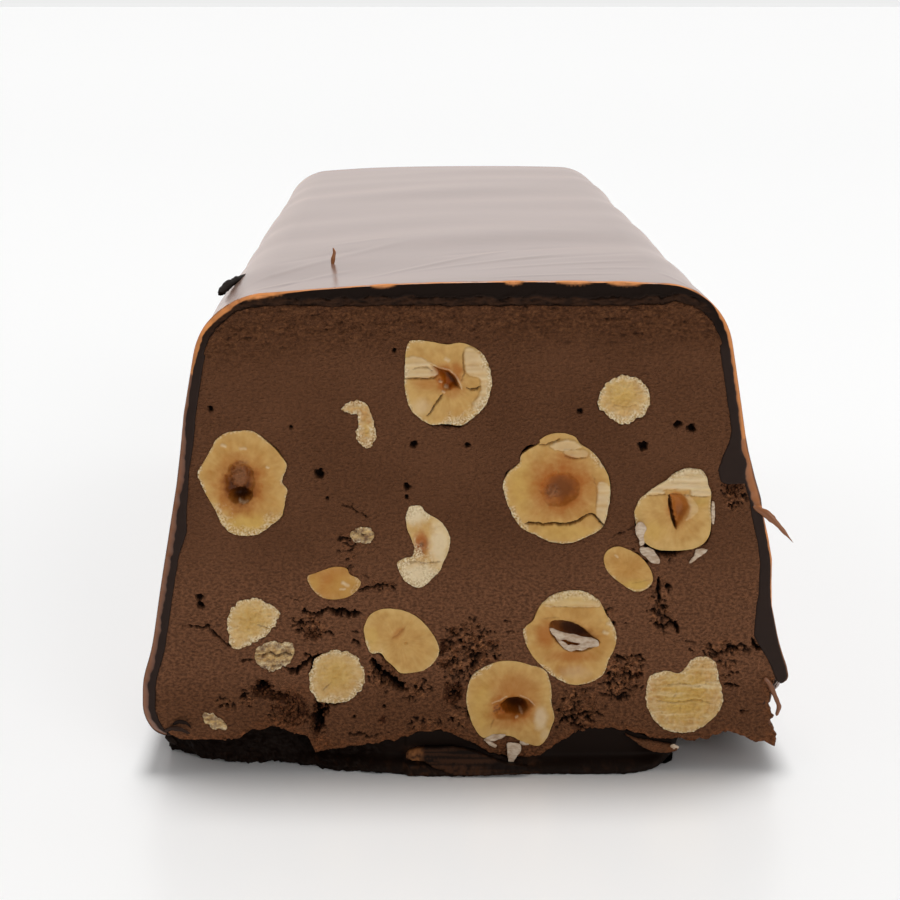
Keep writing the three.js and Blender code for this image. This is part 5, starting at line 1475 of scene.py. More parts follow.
base = {
    # how far behind the cut the base breaks off, left and right
    "leftBreak": [(-45, 10), (-38, 6), (-36, 4.4), (-33, 3.5), (-29, 3.0), (-24, 2.8), (-19.5, 2.6),
                  (-17.5, 2.2), (-14, 1.6), (-10.5, 1.0), (-8.0, 0.6), (-7.6, 0.3)],
    "lip": 2.2,
    "rightBreak": [(27.4, 0.3), (28.4, 1.4), (28.9, 4.5), (30.5, 11), (33, 15), (36, 19), (39, 22),
                   (45, 26)],
    "slant": (20, 29, 3.4),  # from x, to x: the right end slopes back towards the floor
    "columns": 400, "faceRows": 24, "front": 0.3, "halfSpan": 40.5, "clearance": 0.25,
    "rowsAlong": [0, 0.006, 0.015, 0.03, 0.05, 0.08, 0.14, 0.25, 0.4, 0.6, 0.8, 0.9, 0.95, 0.98, 1],
}


def makeBase():
    columns = np.linspace(-1, 1, base["columns"])
    across = columns * base["halfSpan"]
    rows, along = base["faceRows"], base["rowsAlong"]
    frontBack = np.interp(across, *zip(*(base["leftBreak"] + base["rightBreak"])))
    lastY = insideEnd - 0.3
    # once round the sheet, as shares of length and height: up the front, back on top, down, forward below
    profile = [(0, k / rows) for k in range(rows + 1)] + [(v, 1) for v in along[1:]]
    profile += [(1, k / rows) for k in range(rows - 1, -1, -4)] + [(v, 0) for v in along[-2:0:-1]]
    grid = np.zeros((len(columns), len(profile), 3))
    masks = {key: np.zeros(grid.shape[:2]) for key in ("cut", "crumb", "bevel", "fracture")}
    edgeY = cutY + base["front"] + frontBack
    for j, (v, h) in enumerate(profile):
        y = edgeY + (lastY - edgeY) * v
        top = baseTop(across, y)
        exact = np.interp(across, *zip(*baseSheet["edge"]))
        z = (top - 0.05 + bump(y - cutY, baseSheet["edgeReach"]) * (exact - top)) * h
        inset = shell["wall"] + base["clearance"]
        intoRound = np.clip(y - (insideEnd - insideRound), 0, insideRound)
        roundInset = insideRound - np.sqrt(insideRound ** 2 - intoRound ** 2)
        x = columns * (halfWidth(np.maximum(z, shell["rim"])) - inset - roundInset)
        grid[:, j] = place = np.column_stack([x, y, z])
        if v == 0:
            # the broken front: layered, with a shelf in the middle and a lip under it
            layers = fractal(place, (9.0, 3.0, 0.4), 111, 3, 0.6)
            ledge = 1 - smoothStep(z, 1.0, 1.5)
            rough = fractal(place, (1.3, 1.3, 0.6), 112, 4, 0.65)
            shelf = smoothStep(x, -8.2, -7.4) * smoothStep(-x, -14, -2) * smoothStep(-z, -3.1, -1.9)
            slabFrom, slabTo, slope = base["slant"]
            endSlope = slope * smoothStep(x, slabFrom, slabTo) * np.clip(1 - z / 3.0, 0, 1)
            torn = smoothStep(frontBack, 0.6, 2.0)
            stepped = np.maximum(shelf, 0.6 * ledge)
            lip = base["lip"] * smoothStep(x, -24, -16) * smoothStep(-x, -27, -24)
            lip = lip * (1 - smoothStep(z, 0.2, 2.0))
            below = smoothStep(-z, -0.7, 0.1) * 0.5 - lip
            steps = stepped * (0.22 * layers + 0.3 * rough * smoothStep(-z, -2.0, -1.2) - 0.75)
            grid[:, j, 1] += steps + below + torn * (0.5 * rough + 0.25 * layers) + endSlope
            brown = shelf * smoothStep(-z, -2.1, -1.5) * smoothStep(rough, -0.1, 0.5)
            brown += 0.6 * bump(x + 6.9, 1.0) * bump(z - 2.6, 0.5)
            brown = brown + ledge * 0.3 * smoothStep(rough, 0.1, 0.7)
            masks["crumb"][:, j] = brown + shelf * 0.15 * (layers > 0.2)
        masks["cut"][:, j] = v == 0 or h == 1
    nCol, nRow = grid.shape[:2]
    ids = np.arange(nCol * nRow).reshape(nCol, nRow)
    triangles = [bridge(ids[i + 1], ids[i]) for i in range(nCol - 1)]
    shape = newShape(grid.reshape(-1, 3), np.concatenate(triangles),
                     {key: mask.ravel() for key, mask in masks.items()})
    for i, turn in ((0, 1), (nCol - 1, -1)):
        shape["triangles"].append(fan(ids[i], addRow(shape, grid[i].mean(0)[None])[0])[:, ::turn])
    hand(finished(shape, "baseSheet", brokenMaterial), "dark_chocolate", "base")


makeBase()


# What all the nuts share: the cut face's grain, unevenness and point spacing, and the body behind.
nutFace = {
    "grain": 0.3, "waves": 0.03, "broadWaves": 0.04, "spacing": 0.13,
    "bodyRows": (0.12, 0.35, 0.6, 0.82, 0.95), "bodyPower": 2.3,
}


def ovalMask(p, place, entries):
    mask = np.zeros(len(p))
    for x, z, halfX, halfZ, turn, strength in entries:
        share = ovalShare(p, (x, z), (halfX, halfZ), turn) + 0.17 * fractal(place, 1.3, 124, 4, 0.6)
        mask = np.maximum(mask, strength * (1 - smoothStep(share, 0.3, 1.2)))
    return mask


def signedDistance(p, loop):
    return loopDistance(p, loop) * np.where(insideLoop(p, loop), 1, -1)


def nutRelief(nut, flat, loop):
    # depth of a nut's cut face and its colour masks
    p = flat - np.array(nut["at"])
    place = onFace(flat)
    degrees = np.degrees(np.arctan2(p[:, 1], p[:, 0]))
    radius = np.hypot(p[:, 0], p[:, 1])
    edge = loopDistance(flat, loop)
    near, _, number, _ = grainCells(shiver(flat, place, 0.5, 140, 0.1), nutFace["grain"], 132)
    depth = nutFace["waves"] * fractal(place, 1.5, 121, 4, 0.6)
    depth += nutFace["broadWaves"] * noiseAt(place, 4, 122)
    depth += nut.get("lumpy", 0) * noiseAt(place, 1.2, 142)
    masks = {key: ovalMask(p, place, nut.get(key, []))
             for key in ("glow", "dark", "pale", "yellow", "grit")}

    def atLeast(key, values):
        masks[key] = np.maximum(masks[key], values)

    fibre = noiseAt(np.column_stack([degrees * 0.05, radius * 0.28, 0 * radius]), 0.3, 143)
    tone = nut["tone"] + 0.2 * fractal(place, 2.6, 123, 4) + 0.2 * fibre - 0.3 * bump(edge, 0.9)
    masks["tone"] = np.clip(tone, 0, 1)
    depth += 0.02 * fibre
    for x, z, halfX, halfZ, turn, deep in nut.get("hollows", []):
        share = ovalShare(p, (x, z), (halfX, halfZ), turn) + 0.12 * fractal(place, 0.9, 125, 3)
        depth += deep * np.sqrt(np.clip(1 - np.abs(share) ** 1.6, 0, 1))
    for outline, deep, soft in nut.get("pools", []):
        away = signedDistance(p, closedCurve(outline, 0.2)) + 0.06 * fractal(place, 0.6, 126, 3)
        depth += deep * smoothStep(away, -0.05, soft)
        atLeast("glow", 0.75 * smoothStep(away, 0, 0.3))
    for x, z, halfX, halfZ, rise in nut.get("lumps", []):
        share = ovalShare(p, (x, z), (halfX, halfZ)) + 0.2 * fractal(place, 0.6, 127, 3)
        lump = np.sqrt(np.clip(1 - share, 0, 1))
        depth -= lump * (rise + 0.3 * (number - 0.5) - 0.25 * near)
        masks["dark"] *= 1 - 0.55 * lump
        # between a lump's grains the colour is painted dark as shade
        atLeast("dark", 0.6 * (lump > 0.05) * smoothStep(near, 0.42, 0.75))
    for path, width, deep in nut.get("lines", []):
        away, along, run = pathDistance(shiver(p, place, 0.4, 128, 0.09), path)
        taper = np.clip(np.minimum(along, run - along) / 0.8 + 0.3, 0, 1)
        hole = np.clip((width * taper * (0.9 + 0.5 * noiseAt(place, 0.7, 130)) - away) / 0.08 + 0.5, 0, 1)
        depth += deep * hole
        # cracks are painted dark as shade
        atLeast("dark", 0.8 * hole * min(1, deep * 1.6))
    for outline, rise, paleness in nut.get("plates", []):
        away = signedDistance(p, closedCurve(outline, 0.2)) + 0.1 * fractal(place, 0.7, 131, 3)
        on = smoothStep(away, -0.06, 0.1)
        layers = noiseAt(onFace(flat * np.array([0.2, 1.0])), (1, 1, 0.42), 144)
        depth -= rise * on * (1 + 0.5 * layers)
        atLeast("pale", paleness * on * (0.8 + 0.5 * layers))
        # the edge under a raised plate is painted dark as shade
        atLeast("dark", 0.2 * bump(away + 0.1, 0.09) * (rise > 0.13))
    for path, width, rise in nut.get("ridges", []):
        away = pathDistance(shiver(p, place, 0.5, 145, 0.08), path)[0]
        ridge = np.clip(1.2 - away / width, 0, 1) * (0.75 + 0.4 * noiseAt(place, 0.5, 147))
        depth -= rise * ridge
        # ridges get a painted highlight
        atLeast("pale", 0.6 * ridge)
        masks["dark"] *= 1 - np.clip(ridge, 0, 1)
    if "strata" in nut:
        size, rise, above = nut["strata"]
        waves = np.column_stack([p[:, 0] * 0.14, 0 * radius,
                                 (p[:, 1] + 0.25 * noiseAt(place, 2.2, 148)) / size])
        layer = fractal(waves, 1.0, 133, 3, 0.6) * smoothStep(p[:, 1], above, above + 0.5)
        depth += rise * layer
        masks["tone"] = np.clip(masks["tone"] + 0.5 * layer, 0, 1)
        atLeast("pale", 0.5 * np.clip(-layer, 0, 1))
    if "granular" in nut:
        coarse = fractal(place, (0.75, 1, 0.5), 149, 4, 0.7)
        depth += nut["granular"] * (0.16 * coarse + 0.12 * (number - 0.5))
        atLeast("pale", nut["granular"] * (0.15 + 0.3 * smoothStep(-coarse, -0.2, 0.7)) * bump(edge, 2.2))
        masks["tone"] = np.clip(masks["tone"] + 0.2 * nut["granular"] * smoothStep(coarse, 0.1, 0.8), 0, 1)
    fray = np.zeros(len(p))
    for at, spread, reach, strength in nut.get("fray", []):
        sector = smoothStep(-np.abs(angleAway(degrees, at)), -spread, -spread * 0.5)
        ragged = reach * (0.75 + 0.5 * fractal(place, 1.4, 135, 3, 0.6)) * np.maximum(sector, 0.001)
        frayed = 1.35 * (1 - edge / np.maximum(ragged, 0.03)) + 0.35 * (number - 0.5)
        fray = np.maximum(fray, strength * sector * np.clip(frayed, 0, 1))
    fray = np.clip(fray, 0, 1)
    depth -= fray * (0.16 * (number - 0.45) - 0.14 * (near - 0.3))
    # between frayed grains the colour is painted dark as shade
    atLeast("dark", 0.35 * fray * smoothStep(near, 0.5, 0.8))
    depth -= 0.05 * bump(edge, 0.14)
    masks["veil"] = np.zeros(len(p))
    if "veil" in nut:
        smears = fractal(place * np.array([0.7, 1, 1.3]), 0.7, 137, 4, 0.7)
        masks["veil"] = np.clip(nut["veil"] + 0.7 * smears, 0, 0.9)
    masks["fray"] = fray
    return depth, {key: np.clip(values, 0, 1) for key, values in masks.items()}


def makeNut(name, nut):
    loop = nutLoops[name]
    flat, faces = triangulate([loop], evenPoints([loop], nutFace["spacing"], 200 + len(name)))
    depth, masks = nutRelief(nut, flat, loop)
    shape = newShape(onCut(flat, depth), faces, masks)
    last = np.arange(len(loop))
    centre, power, inside = nutCore(nut), nutFace["bodyPower"], {"tone": nut["tone"], "glow": 0.5}
    for share in nutFace["bodyRows"]:
        width = (1 - share ** power) ** (1 / power)
        here = addRow(shape, onCut(centre + (loop - centre) * width, nut["depth"] * share), **inside)
        shape["triangles"].append(bridge(here, last))
        last = here
    pole = addRow(shape, onCut(centre[None], nut["depth"]), **inside)[0]
    shape["triangles"].append(fan(last, pole, back=True))
    pieceName = "nut" + name.removeprefix("hazelnut").title().replace("_", "")
    hand(finished(shape, pieceName, hazelnutMaterial), "hazelnut", name)


for name, nut in hazelnuts.items():
    makeNut(name, nut)


# Papery skins of the nuts: outline corners and holes in mm from the nut's "at", how far in front of
# the cut, curl towards the viewer, and the direction it curls in.
nutSkins = {
    "inSlit": {"nut": "hazelnut_slit", "front": -0.1, "curl": 0.5, "towards": -75,
               "outline": [(-2.6, 1.3), (-1.75, 1.05), (-0.9, 0.75), (0.0, 0.5), (0.9, 0.4), (1.6, 0.15),
                           (2.6, 0.05), (3.5, -0.3), (3.65, -0.9), (2.9, -1.1), (2.2, -1.25), (1.5, -1.55),
                           (0.8, -1.5), (0.1, -1.7), (-0.7, -1.35), (-1.3, -0.75), (-1.9, 0.1),
                           (-2.3, 0.5)],
               "holes": [[(-1.15, -0.3), (-0.6, -0.25), (0.0, -0.5), (0.75, -0.6), (1.3, -0.75),
                          (0.9, -0.95), (0.3, -0.85), (-0.2, -0.95), (-0.55, -0.65)]]},
    "rightSide": {"nut": "hazelnut_right", "front": 0.35, "curl": 0.5, "towards": 160,
                  "outline": [(-4.4, -1.3), (-3.7, -1.7), (-3.5, -2.4), (-3.8, -3.2), (-3.7, -4.2),
                              (-4.2, -4.5), (-4.4, -3.6), (-4.8, -2.9), (-4.9, -2.0)]},
    "rightLower": {"nut": "hazelnut_right", "front": 0.3, "curl": 0.7, "towards": 250,
                   "outline": [(-4.1, -4.7), (-2.8, -4.9), (-2.2, -5.5), (-1.7, -6.4), (-1.9, -6.8),
                               (-2.9, -6.5), (-3.5, -5.9), (-4.2, -5.3)]},
    "rightSpike": {"nut": "hazelnut_right", "front": 0.3, "curl": 0.4, "towards": 300,
                   "outline": [(2.0, -6.7), (2.6, -5.8), (2.9, -5.0), (4.25, -5.0), (3.9, -5.5),
                               (3.3, -5.9), (2.7, -6.4), (2.3, -6.75)]},
    "rightStrip": {"nut": "hazelnut_right", "front": 0.1, "curl": 0.15, "towards": 0,
                   "outline": [(4.6, 1.1), (4.95, 1.0), (5.05, -0.4), (5.0, -1.7), (4.75, -1.6),
                               (4.6, -0.3)]},
    "squareFlake": {"nut": "hazelnut_square", "front": 0.1, "curl": 0.3, "towards": 60,
                    "outline": [(-3.4, -4.9), (-2.3, -4.15), (-0.6, -4.05), (-1.0, -4.55), (-2.3, -5.05)]},
    "squareChip": {"nut": "hazelnut_square", "front": 0.2, "curl": 0.3, "towards": 200,
                   "outline": [(-3.1, -4.8), (-1.75, -5.5), (-1.95, -5.85), (-2.9, -5.3)]},
    "squareHanging": {"nut": "hazelnut_square", "front": 0.45, "curl": 0.55, "towards": 275,
                      "outline": [(-0.4, -5.3), (0.5, -5.2), (1.3, -5.4), (1.4, -6.2), (0.8, -7.0),
                                  (0.4, -7.6), (0.1, -8.2), (-0.2, -7.7), (-0.35, -6.6)]},
    "wedgeChip": {"nut": "hazelnut_heart", "front": 0.4, "curl": 0.3, "towards": 200,
                  "outline": [(-1.7, -6.5), (-1.2, -6.4), (-0.6, -6.75), (-0.8, -7.1), (-1.4, -7.05)]},
    "squareShred": {"nut": "hazelnut_square", "front": 0.0, "curl": 0.2, "towards": 0,
                    "outline": [(1.2, -5.05), (1.9, -5.2), (2.5, -5.5), (2.0, -5.65), (1.4, -5.5)]},
}


skinThickness = 0.07


def sheetShape(loops, lift, thickness, seed):
    # a thin closed sheet between loops; lift gives how far its middle stands in front of the cut
    flat, faces = triangulate(loops, evenPoints(loops, 0.2, seed))
    middle = cutY - lift(flat)
    sides = [np.column_stack([flat[:, 0], middle + side * thickness / 2, flat[:, 1]]) for side in (-1, 1)]
    triangles, start = [faces, faces[:, ::-1] + len(flat)], 0
    for k, loop in enumerate(loops):
        rim = np.arange(start, start + len(loop))
        start += len(loop)
        strip = bridge(rim + len(flat), rim)
        triangles.append(strip if k == 0 else strip[:, ::-1])
    return np.concatenate(sides), np.concatenate(triangles)


def joined(shapes):
    points, triangles, count = [], [], 0
    for some, faces in shapes:
        points.append(some)
        triangles.append(faces + count)
        count += len(some)
    return np.concatenate(points), np.concatenate(triangles)


def makeSkins():
    shapes = []
    for k, skin in enumerate(nutSkins.values()):
        at = np.array(hazelnuts[skin["nut"]]["at"])
        loops = [closedCurve(skin["outline"], 0.15)]
        loops += [closedCurve(hole, 0.12)[::-1] for hole in skin.get("holes", [])]
        rough = [loop + outwards(loop) * (0.06 * fractal(onFace(loop + at), 0.5, 151, 2))[:, None] + at
                 for loop in loops]
        turn = math.radians(skin["towards"])
        middle = rough[0].mean(0)

        def lift(p, skin=skin, turn=turn, middle=middle):
            along = (p - middle) @ np.array([math.cos(turn), math.sin(turn)])
            curl = skin["curl"] * 0.35 * along + skin["curl"] * 0.12 * along ** 2
            return skin["front"] + curl + 0.1 * fractal(onFace(p), 0.8, 152, 3)

        shapes.append(sheetShape(rough, lift, skinThickness, 300 + k))
    hand(finished(newShape(*joined(shapes), {}), "nutSkins", skinMaterial), "hazelnut")


makeSkins()


# Shavings of chocolate. path: x, y in front of the cut, z; width by place along it; how brown, and how strong
# a painted orange glow of light through thin chocolate.
shavings = {
    "splinter": {"path": [(35.9, 0.1, 35.0), (37.6, 0.5, 34.1), (39.0, 0.9, 32.8), (40.9, 1.3, 30.6)],
                 "width": [0.3, 1.15, 0.7, 0.06],
                 "thickness": 0.22, "brown": 0.9, "glowShare": 0.25},
    "hook": {"path": [(38.2, 0.1, 12.4), (38.9, 0.3, 11.6), (39.75, 0.5, 9.7), (40.2, 0.6, 8.6),
                      (39.85, 0.6, 7.4)], "width": [0.5, 0.68, 0.6, 0.55, 0.45],
             "thickness": 0.35, "brown": 1.0, "glowShare": 0.15},
    "strip": {"path": [(38.1, -0.4, 12.6), (38.3, -0.3, 11.3), (38.5, -0.2, 9.7), (38.3, -0.1, 8.7)],
              "width": [0.8, 0.7, 0.5, 0.3],
              "thickness": 0.3, "brown": 0.25, "glowShare": 0},
    "footCurl": {"path": [(-38.4, 0.0, 5.5), (-37.4, 0.5, 6.2), (-36.2, 0.7, 6.1), (-35.1, 0.4, 5.4)],
                 "width": [0.3, 0.7, 0.6, 0.2],
                 "thickness": 0.14, "brown": 0.12, "glowShare": 0},
    "footCurlUpper": {"path": [(-37.3, 0.1, 6.5), (-36.4, 0.5, 7.1), (-35.5, 0.5, 6.9), (-35.0, 0.2, 6.2)],
                      "width": [0.25, 0.55, 0.5, 0.2],
                      "thickness": 0.13, "brown": 0.03, "glowShare": 0},
    "footFlake": {"path": [(-38.3, -0.3, 4.9), (-37.6, 0.1, 4.4), (-36.9, 0.0, 3.9)],
                  "width": [0.7, 0.9, 0.4], "thickness": 0.2, "brown": 0.0, "glowShare": 0},
    "topShaving": {"path": [(-17.1, -22.2, 62.3), (-17.0, -22.2, 63.2), (-16.8, -22.4, 64.0),
                            (-17.0, -22.5, 64.6)], "width": [0.45, 0.6, 0.5, 0.15],
                   "thickness": 0.25, "brown": 1.0, "glowShare": 0.45},
    "edgeChip": {"path": [(-31.3, -14.5, 59.7), (-30.6, -17.5, 60.3), (-29.8, -21, 60.5),
                          (-28.6, -27, 60.4)], "width": [0.8, 1.2, 1.0, 0.6],
                 "thickness": 0.6, "brown": 0.0, "glowShare": 0},
}


def ribbonShape(path, widths, thickness, seed):
    # a flat closed strip along a path, its broad side to the viewer
    corners = np.asarray(path, float) * np.array([1, -1, 1]) + np.array([0, cutY, 0])
    at = np.linspace(0, len(corners) - 1, 9 * len(corners))
    knots = np.arange(len(corners))
    steps = np.column_stack([np.interp(at, knots, corners[:, k]) for k in range(3)])
    for _ in range(6):
        steps[1:-1] = (steps[:-2] + 2 * steps[1:-1] + steps[2:]) / 4
    ahead = np.gradient(steps, axis=0)
    ahead /= np.linalg.norm(ahead, axis=1)[:, None]
    across = np.cross(ahead, np.array([0, 1.0, 0]))
    across /= np.linalg.norm(across, axis=1)[:, None]
    out = np.cross(across, ahead)
    tips = np.sqrt(np.clip(np.minimum(at, at[-1] - at) * 8, 0.05, 1))
    width = np.interp(at, knots, widths) * (1 + 0.25 * noiseAt(steps, 0.7, seed)) * tips
    rings = []
    for a in np.linspace(0, 2 * math.pi, 10, endpoint=False):
        lift = thickness / 2 * math.sin(a) + 0.1 * width * math.cos(a) ** 2
        rings.append(steps + across * (width / 2 * math.cos(a))[:, None] + out * lift[:, None])
    grid = np.stack(rings, axis=1)
    rows, columns = grid.shape[:2]
    ids = np.arange(rows * columns).reshape(rows, columns)
    triangles = [bridge(ids[i], ids[i + 1]) for i in range(rows - 1)]
    points = np.concatenate([grid.reshape(-1, 3), steps[:1], steps[-1:]])
    triangles += [fan(ids[0], ids.size, back=True), fan(ids[-1], ids.size + 1)]
    triangles = np.concatenate(triangles)
    a, b, c = (points[triangles[:, k]] for k in range(3))
    volume = np.einsum("ij,ij->i", a - steps[0], np.cross(b - steps[0], c - steps[0])).sum()
    return points, triangles if volume > 0 else triangles[:, ::-1]


def makeShavings():
    shapes = [ribbonShape(item["path"], item["width"], item["thickness"], 160 + k)
              for k, item in enumerate(shavings.values())]
    counts = [len(points) for points, _ in shapes]
    brown, glowShare = (np.repeat([float(item[key]) for item in shavings.values()], counts)
                     for key in ("brown", "glowShare"))
    shape = newShape(*joined(shapes), {"cut": 1 - brown, "bevel": brown, "fracture": glowShare})
    hand(finished(shape, "shavings", brokenMaterial), "dark_chocolate")


makeShavings()

ledge = {
    # layered lip of the base, its upper side leaning back and its left end torn
    "outline": [(-7.5, 2.3), (-7.2, 2.9), (-6.2, 3.2), (-4.5, 3.3), (-2.5, 3.35), (-0.5, 3.2), (1.6, 2.7),
                (3.6, 2.0), (5.6, 1.5), (8.0, 1.1), (7.0, 0.5), (4.0, 0.35), (1.0, 0.3), (-1.5, 0.4),
                (-3.2, 0.9), (-4.6, 1.5), (-5.6, 1.9), (-6.6, 2.0)],
    "thickness": 1.0, "front": 0.2, "slope": 0.6, "top": 3.3, "layer": 0.3, "layerDepth": 0.12,
}


def makeLedge():
    loop = closedCurve(ledge["outline"], 0.16)
    loop += outwards(loop) * (0.1 * fractal(onFace(loop), (1.2, 1, 0.5), 158, 3))[:, None]

    def lift(p):
        place = onFace(p)
        layers = noiseAt(onFace(p * np.array([0.12, 1 / ledge["layer"]])), 1.0, 159)
        torn = smoothStep(-p[:, 1], -1.7, -1.2) + smoothStep(-p[:, 0], 5.2, 6.2)
        crumbled = 0.16 * np.minimum(torn, 1) * fractal(place, 0.6, 161, 3, 0.6)
        leaning = ledge["front"] + ledge["slope"] * (ledge["top"] - p[:, 1])
        return leaning + ledge["layerDepth"] * layers + crumbled

    points, triangles = sheetShape([loop], lift, ledge["thickness"], 331)
    torn = smoothStep(-points[:, 2], -1.6, -1.1) * smoothStep(-points[:, 0], -4, 2)
    torn = torn + smoothStep(-points[:, 0], 5.0, 6.0)
    brown = np.clip(torn * (0.6 + 0.7 * fractal(points, 0.6, 162, 3, 0.6)), 0, 1)
    streak = 0.35 * smoothStep(noiseAt(points * np.array([0.12, 1, 1 / ledge["layer"]]), 1.0, 163), 0.1,
                               0.5)
    shape = newShape(points, triangles, {
        "cut": np.ones(len(points)), "crumb": brown + streak, "bevel": 0.9 * brown + streak,
        # its torn left end gets the painted orange glow
        "fracture": 0.35 * brown * smoothStep(-points[:, 0], 4.5, 6.0),
    })
    hand(finished(shape, "baseLedge", brokenMaterial), "dark_chocolate")


makeLedge()

wedge = {
    # nougat that stayed on the base at the right
    "outline": [(20.6, 4.7), (22.2, 4.0), (23.7, 3.8), (25.3, 3.5), (26.6, 3.2), (27.3, 2.9), (26.7, 2.55),
                (25.4, 2.4), (24.2, 2.6), (22.8, 3.2), (21.4, 4.2)],
    "thickness": 1.3, "front": -0.25, "slope": 0.25, "middle": 3.2,
}


def makeWedge():
    loop = closedCurve(wedge["outline"], 0.16)
    loop += outwards(loop) * (0.07 * fractal(onFace(loop), 0.6, 155, 3))[:, None]

    def lift(p):
        rough = 0.1 * fractal(onFace(p), 0.7, 156, 3)
        return wedge["front"] + rough - wedge["slope"] * (p[:, 1] - wedge["middle"])

    points, triangles = sheetShape([loop], lift, wedge["thickness"], 330)
    shape = newShape(points, triangles, {"toast": 0.1 + 0.4 * noiseAt(points, 0.8, 157)})
    hand(finished(shape, "nougatWedge", nougatMaterial), "nougat")


makeWedge()

crumbs = {
    "density": 1.0e7, "smallest": 0.07, "largest": 0.24, "seed": 11,  # a square metre; radii in mm
    "uneven": 0.35,
}


def makeCrumbTree():
    # crumbs scattered over the carrier, more where its "share" is high, then one mesh
    group = bpy.data.node_groups.new("clingingCrumbs", "GeometryNodeTree")
    kinds = {"Geometry": "Geometry", "Density": "Float", "Smallest": "Float", "Largest": "Float",
             "Uneven": "Float",
             "Seed": "Int", "Material": "Material"}
    for name, kind in kinds.items():
        group.interface.new_socket(name, in_out="INPUT", socket_type="NodeSocket" + kind)
    group.interface.new_socket("Geometry", in_out="OUTPUT", socket_type="NodeSocketGeometry")
    given = node(group, "NodeGroupInput").outputs

    def make(kind, inputs, **settings):
        # a node with its inputs set or wired
        made = node(group, kind, **settings)
        for key, value in inputs.items():
            if isinstance(value, bpy.types.NodeSocket):
                wire(group, value, made.inputs[key])
            else:
                made.inputs[key].default_value = value
        return made.outputs

    share = make("GeometryNodeInputNamedAttribute", {"Name": "share"}, data_type="FLOAT")["Attribute"]
    density = maths(group, "MULTIPLY", given["Density"], share)
    scatter = make("GeometryNodeDistributePointsOnFaces",
                   {"Mesh": given["Geometry"], "Density": density, "Seed": given["Seed"]},
                   distribute_method="RANDOM")
    crumb = make("GeometryNodeMeshIcoSphere", {"Radius": 1.0, "Subdivisions": 1})["Mesh"]
    size = make("FunctionNodeRandomValue",
                {2: given["Smallest"], 3: given["Largest"], "Seed": given["Seed"]},
                data_type="FLOAT")[1]
    turn = make("FunctionNodeRandomValue", {1: (6.28, 6.28, 6.28), "Seed": given["Seed"]},
                data_type="FLOAT_VECTOR")[0]
    placed = make("GeometryNodeInstanceOnPoints",
                  {"Points": scatter["Points"], "Instance": crumb, "Rotation": turn, "Scale": size})[0]
    shade = make("FunctionNodeRandomValue", {2: -0.3, 3: 0.6}, data_type="FLOAT")[1]
    stored = make("GeometryNodeStoreNamedAttribute", {"Geometry": placed, "Name": "toast", "Value": shade},
                  data_type="FLOAT", domain="INSTANCE")[0]
    realized = make("GeometryNodeRealizeInstances", {0: stored})[0]
    bumps = maths(group, "SUBTRACT", make("ShaderNodeTexNoise", {"Scale": 5200})[0], 0.5)
    reach = maths(group, "MULTIPLY", maths(group, "MULTIPLY", bumps, given["Uneven"]), mm)
    normal = make("GeometryNodeInputNormal", {})[0]
    push = make("ShaderNodeVectorMath", {0: normal, "Scale": reach}, operation="SCALE")[0]
    moved = make("GeometryNodeSetPosition", {"Geometry": realized, "Offset": push})[0]
    covered = make("GeometryNodeSetMaterial", {"Geometry": moved, "Material": given["Material"]})[0]
    wire(group, covered, node(group, "NodeGroupOutput").inputs["Geometry"])
    return group


def makeCrumbs():
    flat, faces, depth, masks = nougatFace
    share = np.clip(1.3 * masks["crumbs"] + 0.8 * masks["toast"] + 0.7 * masks["torn"], 0, 1)
    share = share * (1 - 0.8 * masks["cavity"])
    chosen = faces[share[faces].mean(1) > 0.15]
    used, corners = np.unique(chosen, return_inverse=True)
    points = onCut(flat, depth)[used]
    piece = buildMesh("clingingCrumbs", points, corners.reshape(-1, 3), nougatMaterial,
                      {"share": share[used]})
    group = makeCrumbTree()
    modifier = piece.modifiers.new("crumbs", "NODES")
    modifier.node_group = group
    values = {"Density": crumbs["density"], "Smallest": crumbs["smallest"] * mm,
              "Largest": crumbs["largest"] * mm,
              "Uneven": crumbs["uneven"], "Seed": crumbs["seed"], "Material": nougatMaterial}
    for socket in group.interface.items_tree:
        if socket.in_out == "INPUT" and socket.name in values:
            modifier[socket.identifier] = values[socket.name]
    bpy.context.view_layer.update()
    made = bpy.data.meshes.new_from_object(piece.evaluated_get(bpy.context.evaluated_depsgraph_get()))
    piece.modifiers.clear()
    piece.data = made
    made.shade_flat()
    print("clingingCrumbs made:", len(made.polygons), "triangles")
    hand(piece, "nougat")


makeCrumbs()


studio = {
    "floorSize": 800, "floorColour": (0.92, 0.918, 0.914), "floorRoughness": 0.28, "floorSpecular": 0.3,
    "skyFront": 0.28, "skyBack": [(0.0, 0.86), (0.08, 0.88), (0.2, 1.0), (0.45, 0.8), (0.8, 0.42)],
     # radiance by height
    # soft suns, one high up behind the cut and one filling its face: elevation, turn from straight behind,
    # strength, spread
    "suns": {"above": (82, 14, 1.95, 18), "fill": (20, 150, 0.55, 30)},
}


def makeFloor():
    half = studio["floorSize"] / 2
    mesh = bpy.data.meshes.new("floor")
    mesh.from_pydata([(-half, -half, 0), (half, -half, 0), (half, half, 0), (-half, half, 0)], [],
                     [(0, 1, 2, 3)])
    floor = bpy.data.objects.new("floor", mesh)
    bpy.context.scene.collection.objects.link(floor)
    material, _, shader, _ = newMaterial("floor")
    setSockets(shader, Base_Color=(*studio["floorColour"], 1), Roughness=studio["floorRoughness"],
               Specular_IOR_Level=studio["floorSpecular"])
    mesh.materials.append(material)


def aimed(thing, place, aim):
    thing.location = place
    thing.rotation_euler = (Vector(aim) - Vector(place)).to_track_quat("-Z", "Y").to_euler()


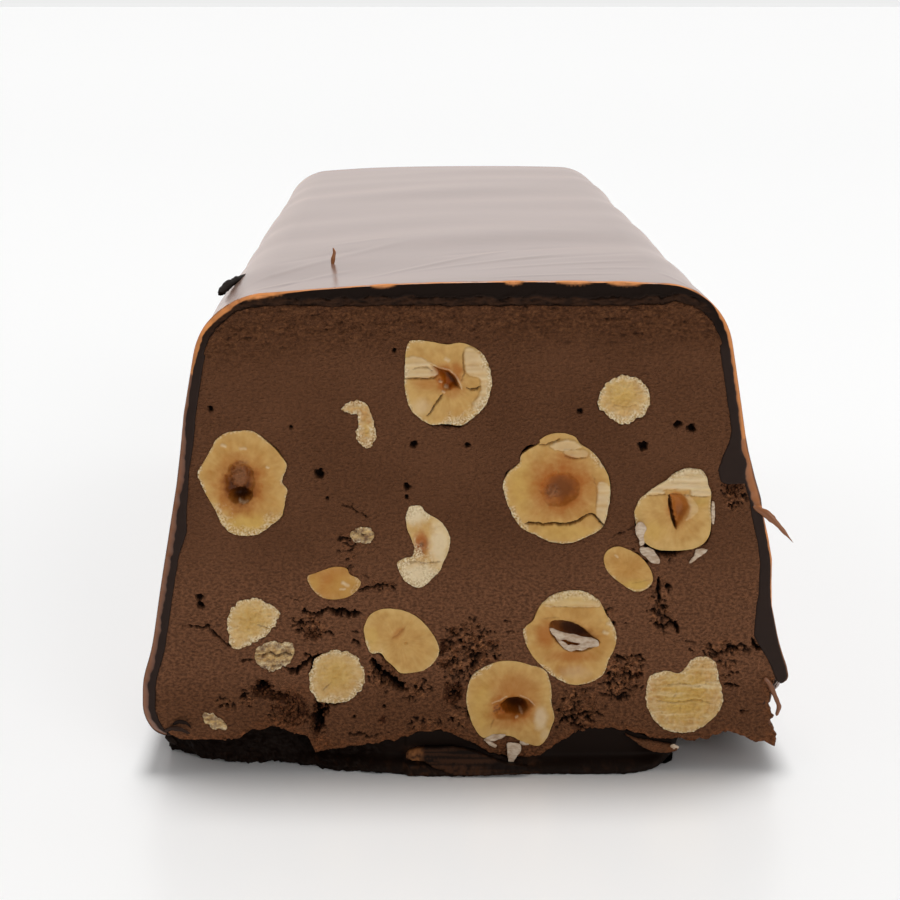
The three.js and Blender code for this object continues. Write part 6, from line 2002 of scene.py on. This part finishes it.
def makeLights():
    world = bpy.data.worlds.new("studio")
    world.use_nodes = True
    tree = world.node_tree
    direction = node(tree, "ShaderNodeSeparateXYZ")
    wire(tree, node(tree, "ShaderNodeTexCoord").outputs["Generated"], direction.inputs[0])
    behind = node(tree, "ShaderNodeMapRange", interpolation_type="SMOOTHSTEP")
    wire(tree, direction.outputs[1], behind.inputs["Value"])
    setSockets(behind, From_Min=-0.3, From_Max=0.6)
    heights = node(tree, "ShaderNodeValToRGB")
    heights.color_ramp.interpolation = "EASE"
    stops = heights.color_ramp.elements
    while len(stops) < len(studio["skyBack"]):
        stops.new(0.5)
    for stop, (height, radiance) in zip(stops, studio["skyBack"]):
        stop.position, stop.color = height, (radiance, radiance, radiance, 1)
    wire(tree, direction.outputs[2], heights.inputs[0])
    front = (studio["skyFront"],) * 3
    sky = mixColours(tree, behind.outputs[0], front, heights.outputs[0])
    wire(tree, sky, tree.nodes["Background"].inputs["Color"])
    bpy.context.scene.world = world
    for name, (elevation, turned, strength, spread) in studio["suns"].items():
        light = bpy.data.lights.new(name, "SUN")
        light.energy = strength
        light.angle = math.radians(spread)
        lamp = bpy.data.objects.new(name, light)
        up, turn = math.radians(elevation), math.radians(turned)
        aimed(lamp, (math.cos(up) * math.sin(turn), math.cos(up) * math.cos(turn), math.sin(up)), (0, 0, 0))
        bpy.context.scene.collection.objects.link(lamp)


viewpoint = {
    "lens": 75, "sensor": 36, "clip": (0.01, 100),
    "place": (-0.005885, -0.317383, 0.095867), "pitch": 13.351, "turn": 1.011,
     # degrees down and to the right
}


def makeCamera():
    data = bpy.data.cameras.new("camera")
    data.lens = viewpoint["lens"]
    data.sensor_width = viewpoint["sensor"]
    data.clip_start, data.clip_end = viewpoint["clip"]
    camera = bpy.data.objects.new("camera", data)
    pitch, turn = (math.radians(viewpoint[key]) for key in ("pitch", "turn"))
    camera.location = viewpoint["place"]
    look = Vector((math.sin(turn) * math.cos(pitch), math.cos(turn) * math.cos(pitch), -math.sin(pitch)))
    camera.rotation_euler = look.to_track_quat("-Z", "Y").to_euler()
    bpy.context.scene.collection.objects.link(camera)
    bpy.context.scene.camera = camera


makeFloor()
makeLights()
makeCamera()
bpy.context.scene.view_settings.view_transform = "Standard"
print("floor, light and camera made")
